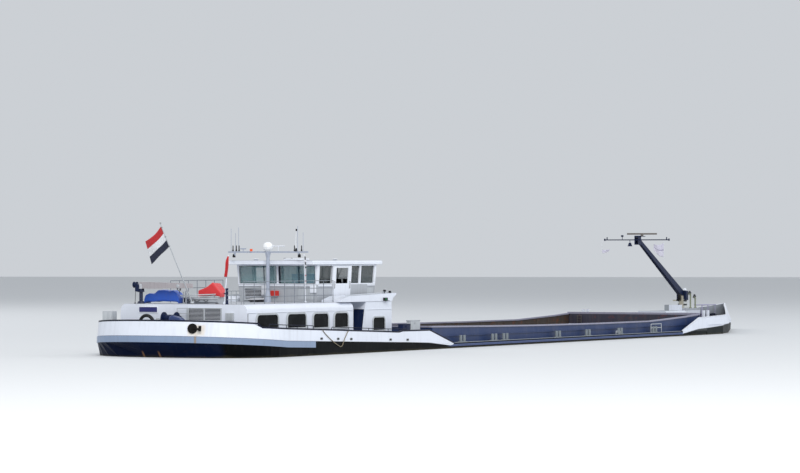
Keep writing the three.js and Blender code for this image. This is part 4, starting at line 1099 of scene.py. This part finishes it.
blue_cloth = woven("blue_tarpaulin", srgb(24, 84, 190), 0.0026, 0.42, 0.18)
red_cloth = woven("red_tarpaulin", srgb(216, 44, 48), 0.0026, 0.5, 0.12)
BLUE_RIDGE = [
    *((264, 251), (270, 268), (262, 290), (240, 300), (216, 296), (204, 304)),
    *((190, 315), (150, 316), (128, 311), (108, 315), (84, 302), (72, 278), (75, 251)),
]
RED_RIDGE = [
    *((-8, 281), (-2, 292), (3, 302), (4, 314), (-16, 320), (-36, 330), (-60, 343), (-77, 351)),
    *((-90, 336), (-104, 320), (-120, 303), (-117, 281)),
]
over_boat = ("blue_cloth", "blue_cover", ["aft_house"], 3.0, 3)
tarpaulin("blue_tarpaulin", BLUE_RIDGE, (330, 384), 250.8, blue_cloth, *over_boat)
over_dinghy = ("red_cloth", "red_cover", ["dinghy"], 3.4, 8)
tarpaulin("red_tarpaulin", RED_RIDGE, (400, 472), 280.8, red_cloth, *over_dinghy)

# Wheelhouse trim, only where the sliding doors don't pass over it
CABIN_OPENINGS = [(cabin_side(side), 1156, 1284) for _, side in SIDES]
CABIN_OPENINGS += [(aft_cabin, -222, -12), (aft_cabin, 3, 222)]
CABIN_OPENINGS += [(fore_cabin, -222, -3), (fore_cabin, 12, 222)]
cabin_row = [(wall, (start, end, *PANE), 5, 5, 4, 2.2) for wall, start, end in CABIN_OPENINGS]
windows("cabin_windows", cabin_row, white_trim)
mullions, wipers, panels, sills = Shape(), Shape(), Shape(), Shape()
for surface, start in ((aft_cabin, -20), (fore_cabin, 6)):
    mullions.panel(surface, start, start + 10, *BAR, 1, 3.4)
for surface, starts in ((aft_cabin, (-130, 74)), (fore_cabin, (-150, -74, 84, 156))):
    for start in starts:
        mullions.panel(surface, start, start + 5, *BAR, 1, 2.0)
    sills.panel(surface, -226, 226, *SILL, 2, 5)
for _, side in SIDES:
    for start, end in ((1148, 1284), (1648, 1727)):
        sills.panel(cabin_side(side), start, end, *SILL, 2, 4)
    panels.panel(cabin_side(side), 1650, 1712, 268, 318, 4, 1.8)
panels.panel(aft_cabin, -214, -120, *PANEL, 3, 1.8)
for start, end in ((-212, -112), (-100, 0), (12, 112), (124, 212)):
    panels.panel(fore_cabin, start, end, *PANEL, 3, 1.8)
mullions.done("cabin_mullions", navy_rail, "navy_paint", bevel=0.0005)
sills.done("cabin_sills", white_trim, "white_paint", bevel=0.0008)
panels.done("cabin_panels", light_grey, "grey_paint", bevel=0.0006)
at, out = fore_cabin
for y in (-120, -32, 66, 158):
    pivot = at(y, 428) + out * 0.004
    wipers.turned([(3, -3), (3.6, 1), (2, 3.5)], pivot, out, 12)
    wipers.tube([pivot, at(y + 26, 366) + out * 0.004], 1.1, 6)
    wipers.tube([at(y + u, h) + out * 0.0035 for u, h in ((22, 394), (27, 348))], 1.5, 6)
wipers.done("wipers", black_metal, "black_iron")

gutter, roof_gear, roof_dark, handles = Shape(), Shape(), Shape(), Shape()
edge = [(1069, -246, 441), (1783, -246, 441), (1783, 246, 441), (1069, 246, 441)]
for start, end in zip(edge, edge[1:] + edge[:1]):
    gutter.tube([start, end], 2.2)
gutter.done("roof_gutter", white_trim, "white_paint", sharp=60)
roof_gear.box((1250, -70, CABIN_TOP), (1340, 30, 468), 0.004)
for station in (1262, 1328):
    roof_dark.box((station - 4, 24, 462), (station + 4, 34, 470), 0.001)
for station, y in ((1180, 150), (1460, -150), (1600, 120)):
    roof_gear.turned([(9, 0), (9, 4), (16, 5), (17, 6), (12, 8), (3, 9)], (station, y, CABIN_TOP), sides=20)
roof_gear.done("roof_hatch_and_vents", white_trim, "white_paint", bevel=0.0006)
roof_dark.done("roof_hatch_hinges", black_metal, "black_iron", bevel=0.0004)
for _, side in SIDES:
    at, out = cabin_side(side)
    for station in (1304, 1458):
        foot, head = (at(station, height) + out * 8.5 * MM for height in (318, 352))
        handles.tube([foot - out * 0.004, foot, head, head - out * 0.004], 1.5)
handles.done("door_handles_rail", steel, "grey_paint", sharp=60)

# Box and small red case on the after wall of the wheelhouse
case_white, case_red = Shape(), Shape()
case_red.panel(aft_cabin, -8, 36, 279, 306, 3, 13, 0.2)
case_white.panel(aft_cabin, -226, -192, 296, 334, 3, 8, 0.2)
case_white.done("wall_locker", white_trim, "white_paint", bevel=0.0012)
case_red.done("red_case", red_paint, "red_cloth", bevel=0.001)

# Sidelights with their screens at the wings' outer faces, and the gear on the raised wings
WING_SIDE = 361.3
for (name, side), tone in zip(SIDES, (green_paint, red_paint)):
    screen, lens, wing, cameras = Shape(), Shape(), Shape(), Shape()
    for low, end, out, high in ((254, 1630, 363.5, 268), (254, 1587, 372, 268), (252, 1630, 374, 254)):
        screen.box((1584, side * WING_SIDE, low), (end, side * out, high), 0.0006)
    lens.turned([(4, 0), (4.5, 2), (4.5, 9), (2, 11)], (1600, side * 368.5, 254.1))
    screen.done(f"sidelight_screen_{name}", black_metal, "black_iron")
    lens.done(f"sidelight_{name}", tone, "tinted_glass")
    y = side * 330
    wing.box((1640, y - 9, 289), (1676, y + 9, 301), 0.002)
    wing.tube([(1660, y, 300), (1660, y, 309), (1672, y, 312)], 2.2)
    for station, height in ((1626, 303), (1682, 297)):
        rows = [(2, -8), (5, -7), (6, 4), (5.4, 8), (2, 9)]
        cameras.turned(rows, (station, side * 346, height), (1, 0, -0.1), 14)
        cameras.post(station, side * 346, height - 13, height, 1.6)
    wing.tube([(1232, side * 340, 281), (1716, side * 340, 292.5)], 2)
    wing.done(f"wing_gear_{name}", light_grey, "grey_paint", bevel=0.0005)
    cameras.done(f"wing_cameras_{name}", black_metal, "black_iron", bevel=0.0003)

# Wheelhouse mast: aerials and lamps on its cross bar
MAST = 1047
BAR_TOP = 503.5
aerials, mast_dark = Shape(), Shape()
aerials.tube([(MAST, -26, 530), (MAST, -98, 530)], 2)
for k in range(7):
    aerials.post(MAST, -34 - 10 * k, 526 - k * 0.3, 534 + k * 0.3, 1.2, 6)
aerials.post(MAST, -60, 504, 530, 1.6, 6)
for y in (205, 185, 169, -154, -195):
    mast_dark.turned([(4, 0), (4, 8), (2.6, 10), (2.6, 26), (1.4, 30)], (MAST, y, BAR_TOP), sides=12)
aerials.tube([(MAST, -164, 504), (MAST, -160, 560), (MAST, -165, 604)], 1.2, 6)
mast_dark.turned([(1.5, 0), (4, 2), (4, 10), (1.5, 12)], (MAST, -165, 604), sides=12)
for y in (199, -182):
    mast_dark.turned([(2, 18), (2, 14), (7, 12), (8, 0), (6.5, -3)], (MAST, y, 476))
mast_dark.turned([(6, 0), (6, 4), (4.5, 5), (4.5, 14), (2, 16)], (MAST, -164, BAR_TOP), sides=14)
for y in (-120, -60, 60, 120):
    mast_dark.box((MAST - 3.6, y - 1.2, 495.6), (MAST + 3.6, y + 1.2, 504.4), 0.0004)
aerials.done("mast_aerials", white_trim, "white_paint", sharp=60)
mast_dark.done("mast_lamps", black_metal, "black_iron", bevel=0.0003)

# Gear on the after deck, seen over the stern bulwark
tyre, gear_grey, gear_navy, cover_box = Shape(), Shape(), Shape(), Shape()
tyre.torus((206, 172, 157), (1, 0, 0.1), 38, 8, 40, 12)
tyre.done("spare_tyre", rubber, "black_iron")
gear_grey.box((264, 412, 106), (308, 468, 213), 0.003)
for y in (416, 442):
    gear_grey.box((262.6, y, 112), (264.4, y + 22, 207), 0.0006)
gear_grey.box((218, 112, AFTER_DECK), (236, 128, 182), 0.002)
for y in (-40, 23):
    gear_grey.post(242, y, AFTER_DECK, 231, 2.2)
for height in (206, 230):
    gear_grey.tube([(242, -40, height), (242, 23, height)], 1.8)
WINCH = (196, 32, 183)
gear_navy.turned([(30, -38), (30, -33), (17, -32), (17, 32), (30, 33), (30, 38)], WINCH, (0, 1, 0), 28)
gear_navy.turned([(12, -58), (12, -40), (5, -39)], WINCH, (0, 1, 0), 18)
for y in (2, 62):
    gear_navy.box((180, y - 3, AFTER_DECK), (212, y + 3, 172), 0.002)
gear_navy.box((176, -6, AFTER_DECK), (216, 70, 108), 0.002)
gear_grey.done("after_deck_locker", light_grey, "grey_paint", bevel=0.0007)
gear_navy.done("after_winch", navy, "navy_paint", bevel=0.0006)
cover_box.box((148, -56, 98.2), (172, 0, 184), 0.003)
cover_box.done("after_deck_box", dark_grey, "grey_paint", bevel=0.0008)
AFT_RIDGE = [
    *((-66, 99), (-65, 140), (-62, 178), (-50, 186), (-30, 192)),
    *((-8, 197), (4, 190), (7, 140), (8, 99)),
]
deck_cloth = woven("deck_cover_cloth", srgb(40, 62, 116), 0.0026, 0.42, 0.2)
over_box = ("blue_cloth", None, ["after_deck_box"], 1.4, 5)
tarpaulin("after_deck_cover", AFT_RIDGE, (140, 180), 98.6, deck_cloth, *over_box, cut_share=0.76)

# Hoisting drum and hose of the crane, and the sheave and hook under its boom
DRUM = (300, 293, 341)
crane_navy, crane_grey, boom_gear = Shape(), Shape(), Shape()
drum_rows = [(9, -4), (15, -3), (15, 0), (11, 1), (11, 11), (15, 12), (15, 15), (7, 16)]
crane_navy.turned(drum_rows, DRUM, (0, 1, 0), 26)
crane_navy.turned([(4, 16), (4, 18), (6.5, 18), (6.5, 20), (2, 21)], DRUM, (0, 1, 0), 14)
for station in (284, 312):
    crane_navy.box((station, 270, 308), (station + 4, 292, 344), 0.001)
crane_navy.box((284, 288, 326), (316, 291, 344), 0.001)
for station in (286, 311):
    crane_navy.box((station, 271, 306), (station + 3, 279, 313), 0.0006)
crane_navy.done("hoisting_drum", navy, "navy_paint", body="crane", bevel=0.0004)
crane_grey.tube([(281, 289, 256), (282, 288, 290), (285, 288, 307)], 1.3)
crane_grey.turned([(5, 0), (5, 3), (2, 5)], (281, 289, ON_ROOF), sides=14)
crane_grey.done("crane_hose", black_metal, "black_iron", body="crane", sharp=60)
boom_gear.turned([(6, -9), (9, -8), (9, 8), (6, 9)], (300, 52, 336), (1, 0, 0), 18)
boom_gear.post(300, 52, 327, 322, 1.1, 6)
hook = [(300, 52 + 5 * math.sin(a), 316 + 5 * math.cos(a)) for a in (0.2, 1.1, 2, 2.9, 3.8, 4.6)]
boom_gear.tube(hook, 1.3)
boom_gear.done("boom_gear", light_grey, "grey_paint", body="crane_arm", bevel=0.0004)

# Bundle of poles, rings and dark gear between the covered boat and the dinghy
poles, dark_gear = Shape(), Shape()
for station, y, top in ((356, 44, 317), (362, 52, 312), (352, 58, 308)):
    poles.tube([(station, y, ON_ROOF), (station - 3, y - 2, top)], 2.4)
poles.tube([(330, 62, 290), (400, -96, 296)], 2.6, 10)
poles.tube([(334, 58, 283), (404, -92, 287)], 2.2, 10)
poles.done("boat_hook_poles", light_grey, "grey_paint", sharp=60)
dark_gear.torus((318, 61, 322), (1, 0.15, 0), 9, 2.3, 26, 8)
dark_gear.tube([(320, 61, 312.6), (326, 61, 300)], 1.5)
dark_gear.box((398, -100, ON_ROOF), (404, -90, 280), 0.001)
dark_gear.box((392, -112, ON_ROOF), (410, -80, 253), 0.001)
dark_gear.done("roof_rings_and_stand", black_metal, "black_iron", bevel=0.0004)


def cushion(name, low, high, look, slot, crown=1, seams=1, steps=18):
    """A pad in a box from low to high, crowned along its thin way, with its sides pulled in."""
    mesh = bmesh.new()
    low, high = place(*low), place(*high)
    middle, half = (low + high) / 2, [abs(size) / 2 for size in high - low]
    thin = half.index(min(half))
    wide, tall = [axis for axis in range(3) if axis != thin]

    def point(u, v, upper):
        edge = max(0, (1 - abs(u) ** 5) * (1 - abs(v) ** 5))
        channel = 1 - 0.22 * math.exp(-((((u + 1) * seams / 2) % 1 - 0.5) * 14) ** 2)
        at = middle.copy()
        at[wide] += half[wide] * u * (1 - 0.035 * (1 - v * v))
        at[tall] += half[tall] * v * (1 - 0.035 * (1 - u * u))
        at[thin] += half[thin] * crown * (edge**0.45 * channel if upper else -(edge**0.3))
        return at

    spread = [math.sin(math.pi / 2 * (2 * k / steps - 1)) for k in range(steps + 1)]
    for upper in (True, False):
        rows = [[mesh.verts.new(point(u, v, upper)) for v in spread] for u in spread]
        for i in range(steps):
            for j in range(steps):
                mesh.faces.new((rows[i][j], rows[i + 1][j], rows[i + 1][j + 1], rows[i][j + 1]))
    bmesh.ops.remove_doubles(mesh, verts=mesh.verts, dist=1e-5)
    bmesh.ops.recalc_face_normals(mesh, faces=mesh.faces)
    for face in mesh.faces:
        face.smooth = True
    piece_of(name, mesh, look, slot)


# Sun lounger with its cushion, a bag, the bench behind the wheelhouse, and the pads of the helm seat
lounger, bench = Shape(), Shape()
lounger.box((994, 24, 250.3), (1096, 76, 254), 0.001)
for station in (1000, 1088):
    for y in (30, 70):
        lounger.post(station, y, ON_ROOF, 257, 2.2)
lounger.box((985, 22, 256), (1098, 78, 259.4), 0.0012)
lounger.done("lounger_frame", black_metal, "black_iron", bevel=0.0005)
white_cloth = woven("white_cloth", srgb(214, 216, 222), 0.0024, 0.35, 0.15)
blue_seat = woven("blue_seat_cloth", srgb(40, 74, 150), 0.003, 0.3, 0.1)
cushion("lounger_cushion", (984, 22, 259.5), (1099, 78, 269), white_cloth, "flag_cloth", seams=3)
cushion("white_bag", (1121, 50, 279), (1139, 88, 334), white_cloth, "flag_cloth", crown=-1)
bench.box((1168, -196, 258), (1206, -60, 300), 0.002)
bench.done("bench_frame", console_plastic, "grey_paint", bevel=0.001)
cushion("bench_seat", (1169, -196, 300.2), (1207, -60, 310), blue_seat, "blue_cloth", seams=4)
cushion("bench_back", (1172, -196, 310.4), (1182, -60, 392), blue_seat, "blue_cloth")
cushion("helm_seat_pad", (1520.5, -25, 309.4), (1568, 25, 318), leather, "seat_leather")
cushion("helm_seat_back_pad", (1519.4, -23, 320), (1527, 23, 368), leather, "seat_leather")

# Screens, wheel and levers of the helm
WHEEL = (1592, 0, 330)
screens, helm_metal = Shape(), Shape()
for y in (-96, -48, 0, 48, 96):
    screens.box((1668, y - 19, 337), (1671, y + 19, 363), 0.001, Matrix.Rotation(math.radians(-14), 4, "Y"))
    helm_metal.box((1674, y - 3, 335.4), (1678, y + 3, 344), 0.0006)
helm_metal.torus(WHEEL, (1, 0, 0.7), 15, 1.6, 30, 8)
for turn in (0, 2.094, 4.189):
    rim = (1592 - 8.6 * math.sin(turn), 15 * math.cos(turn), 330 + 12.3 * math.sin(turn))
    helm_metal.tube([WHEEL, rim], 1.1, 6)
helm_metal.tube([WHEEL, (1601, 0, 323)], 2.2)
for y in (-34, 34):
    helm_metal.tube([(1622, y, 319.6), (1616, y, 332)], 1.5)
    helm_metal.turned([(0.5, -3), (3, -2), (3.2, 1), (0.5, 3)], (1616, y, 333), sides=12)
screens.done("helm_screens", house_glass, "tinted_glass")
helm_metal.done("helm_wheel_and_levers", steel, "grey_paint", sharp=50)

# Side deck: posts, frames, lockers and a light edge strip
deck_frames, deck_lockers, grey_lockers, strips = Shape(), Shape(), Shape(), Shape()
for _, side in SIDES:
    y = side * 474
    for start, end, low, high in ((4640, 4789, 28, 78), (4151, 4206, 28, 47)):
        deck_frames.post(start, y, low, high, 2.1)
        deck_frames.post(end, y, low, high, 2.1)
        for height, radius in ((high, 2.1), ((low + high) / 2 + 3, 2.2)):
            deck_frames.tube([(start, y, height), (end, y, height)], radius)
    deck_frames.turned([(7, 0), (7, 3), (4, 4), (4, 25), (5.4, 26), (2, 28)], (3752, y, 27.6))
    y = side * 398
    for start, end, high, locker in ((1790, 1888, 146, grey_lockers), (1700, 1782, 128, deck_lockers)):
        locker.box((start, y - 14, along(STERN_DECK, start) + 1), (end, y + 14, high), 0.003)
        locker.box((start - 2, y - 16, high), (end + 2, y + 16, high + 4), 0.0015)
        locker.box((start + 30, side * 412, high - 12), (start + 42, side * 415, high - 6), 0.0006)
    strips.tube([(s, side * 497.2, 29.2) for s in (2110, 3000, 4000, 5020)], 1.5, 6)
deck_frames.done("side_deck_frames", light_grey, "grey_paint", sharp=60)
deck_lockers.done("navy_deck_lockers", navy, "navy_paint", bevel=0.0006)
grey_lockers.done("grey_deck_lockers", light_grey, "grey_paint", bevel=0.0006)
strips.done("side_deck_edge_strips", grey, "grey_paint", bevel=0.0003)

# Hold: ladders at both ends, and welded seams on its walls
HOLD_FLOOR = 51
LADDER_TOP = 112
ladders, seams = Shape(), Shape()
for station in (1970, 5404):
    for y in (-360, 360):
        for rail_y in (y - 14, y + 14):
            ladders.post(station, rail_y, HOLD_FLOOR, LADDER_TOP, 2.2)
        for height in range(60, LADDER_TOP, 10):
            ladders.tube([(station, y - 14, height), (station, y + 14, height)], 1.5)
for station in range(2110, 5400, 150):
    for low, high in ((-432.6, -431.2), (431.2, 432.6)):
        top = 94 + along(COAMING_RISE, station)
        seams.box((station, low, HOLD_FLOOR), (station + 3, high, top), 0.0003)
ladders.done("hold_ladders", steel, "grey_paint", sharp=60)
seams.done("hold_seams", hold_paint, "grey_paint")

# Foredeck: mast hinge, ball, drum and bars
BALL = (6223, 4, 263)
BAR_HEIGHT = 164
hinge, ball, drum, bars = Shape(), Shape(), Shape(), Shape()
for y in (-33, 21.4):
    hinge.box((6158, y, 199), (6196, y + 11.6, 258), 0.003)
    for height in (210, 246):
        hinge.turned([(5, -7), (5, 7)], (6177, y + 5.8, height), (0, 1, 0), 6)
ball.turned([(0.5, -12), (7, -10), (11, -5), (12, 0), (11, 5), (7, 10), (0.5, 12)], BALL, sides=24)
ball.post(6223, 4, 149.2, 253, 2.4)
spool = [(6, -8), (21, -7), (21, -4), (13, -3), (13, 3), (21, 4), (21, 7), (6, 8)]
drum.turned(spool, (6068, -31, 217), (0, 1, 0), 28)
drum.box((6062, -24, 194), (6074, -8, 206), 0.001)
for y in (-26, 26):
    bars.tube([(6425, y, BAR_HEIGHT), (6652, y, BAR_HEIGHT)], 3, 10)
    for station in (6440, 6540, 6640):
        bars.post(station, y, 62, BAR_HEIGHT, 2)
hinge.done("mast_hinge_cheeks", navy, "navy_paint", bevel=0.0006)
ball.done("mast_ball", white_trim, "white_paint", sharp=50)
drum.done("mast_winch_drum", black_metal, "black_iron", bevel=0.0005)
bars.done("foredeck_bars", painted("lilac_paint", srgb(168, 164, 196), 0.4, 0.2), "grey_paint", sharp=60)

# Seams at the after corners of the house, and the dinghy's rubbing tubes, grab lines and outboard motor
seam, dinghy_rubber, dinghy_dark, recess = Shape(), Shape(), Shape(), Shape()
for _, side in SIDES:
    seam.panel(side_wall(side), 263, 267, 131, 206, 1, 2.2)
seam.done("house_corner_seams", dark_grey, "grey_paint")
DINGHY = [
    *((382, 58), (370, 26), (368, -66), (392, -108), (456, -108)),
    *((482, -66), (480, 26), (468, 58), (382, 58)),
]
for height, inset in ((262, 0), (274, 1.8)):
    dinghy_rubber.tube([(s + (inset if s > 426 else -inset), y, height) for s, y in DINGHY], 4.2, 12)
for start, end in ((44, 16), (2, -30), (-52, -78)):
    dinghy_dark.tube([(360.5, start, 268), (360, (start + end) / 2, 259), (360.5, end, 268)], 1.5)
dinghy_dark.box((380, 64, 256), (398, 78, 279), 0.002)
dinghy_dark.box((385, 66, 250.6), (392, 72, 257), 0.001)
dinghy_rubber.done("dinghy_tubes", grey_rubber, "grey_rubber", sharp=60)
dinghy_dark.done("dinghy_grab_lines_and_motor", black_metal, "black_iron", sharp=60, bevel=0.0004)

# Navy after walls of the entrance recesses, which lean forward with height
RECESS_FOOT = along(STERN_DECK, 1370) + 2
RECESS_EDGE = ((-354, RECESS_FOOT), (-253, RECESS_FOOT), (-253, 212), (-354, 212))
for _, side in SIDES:
    faces = [(thick, y, h) for thick in (0.4, 1.6) for y, h in RECESS_EDGE]
    recess.block(place(1366 + 42 * (h - 48) / 202 - thick, side * -y, h) for thick, y, h in faces)
recess.done("recess_walls", navy, "navy_paint")


# Pennants on the halyards of the fore mast's bar
HALYARD = 5476


def hung_pennant(name, hoist_y, top, hoist, reach, rise):
    """A light flag that streams from its halyard, with hoist and reach in mm."""

    def point(u, v):
        wave = 3.5 * math.sin(2 * math.pi * (1.2 * u + 0.3 * v)) * min(1, 3 * u)
        height = top - hoist * (1 - 0.55 * u) * v - rise * u - 0.12 * hoist * math.sin(math.pi * u)
        return place(HALYARD + wave + 6 * u, hoist_y + reach * u, height)

    look = cloth_look(name + "_cloth", PENNANT_TONES)
    piece = sheet_mesh(name, point, 26, 20, look, "flag_cloth", 0.6, "mast_top")
    flat_size(point, 26, 20)


PENNANT_TONES = ((0, srgb(222, 220, 238)), (0.46, srgb(168, 164, 190)), (0.54, srgb(226, 224, 240)))
hung_pennant("starboard_pennant", -183, 562, 88, 72, 6)
hung_pennant("port_pennant", 236, 520, 24, -46, -2)
halyards = Shape()
for y, low in ((-183, 452), (236, 494)):
    halyards.post(HALYARD, y, 575, low, 0.8, 6)
halyards.done("pennant_halyards", white_trim, "rope_fibre", body="mast_top", sharp=60)

# Floor and light
FLOOR_SIZE = 60


def waterline():
    """The hull's outline at the water, as a convex polygon."""
    found = set()
    for name in HULL_NODES:
        mesh = nodes[name].data
        for edge in mesh.edges:
            a, b = (mesh.vertices[i].co for i in edge.vertices)
            if (a.z - WATER) * (b.z - WATER) < 0:
                cut = a.lerp(b, (WATER - a.z) / (b.z - a.z))
                found.add((round(cut.x, 5), round(cut.y, 5)))
    points = sorted(found)

    def chain(listed):
        kept = []
        for p in listed:
            while len(kept) > 1:
                (x0, y0), (x1, y1) = kept[-2:]
                if (x1 - x0) * (p[1] - y0) - (y1 - y0) * (p[0] - x0) > 0:
                    break
                kept.pop()
            kept.append(p)
        return kept[:-1]

    return chain(points) + chain(points[::-1])


floor_shape = Shape()
inner_edge = [(x * 0.9995, y * 0.996) for x, y in waterline()]
turns = [math.atan2(y * 7, x) for x, y in inner_edge]
ring_in = floor_shape.ring((x, y, WATER) for x, y in inner_edge)
ring_out = floor_shape.ring((FLOOR_SIZE * math.cos(a), FLOOR_SIZE * math.sin(a), WATER) for a in turns)
floor_shape.skin([ring_in, ring_out])
bmesh.ops.recalc_face_normals(floor_shape.mesh, faces=floor_shape.mesh.faces)
floor = linked("floor", floor_shape.mesh, Look("floor", Roughness=0.7).finished(srgb(214, 216, 218)))


def lamp(name, location, target, power, colour):
    data = bpy.data.lights.new(name, "AREA")
    data.shape = "DISK"
    data.size = 8
    data.energy = power
    data.color = colour
    light = bpy.data.objects.new(name, data)
    light.location = location
    light.rotation_euler = (Vector(target) - Vector(location)).to_track_quat("-Z", "Y").to_euler()
    bpy.context.scene.collection.objects.link(light)


lamp("key_light", (-12, -7, 9), (-0.8, 0, 0.3), 1350, (1, 0.99, 0.97))
lamp("fill_light", (7, -11, 7), (0.8, 0, 0.3), 520, (0.94, 0.97, 1))
lamp("back_light", (2, 12, 8), (0, 0, 0.3), 450, (1, 1, 1))
world = bpy.data.worlds.new("world")
world.use_nodes = True
background = world.node_tree.nodes["Background"]
background.inputs["Color"].default_value = (0.86, 0.9, 0.95, 1)
background.inputs["Strength"].default_value = 0.7
bpy.context.scene.world = world
bpy.context.scene.view_settings.view_transform = "Standard"
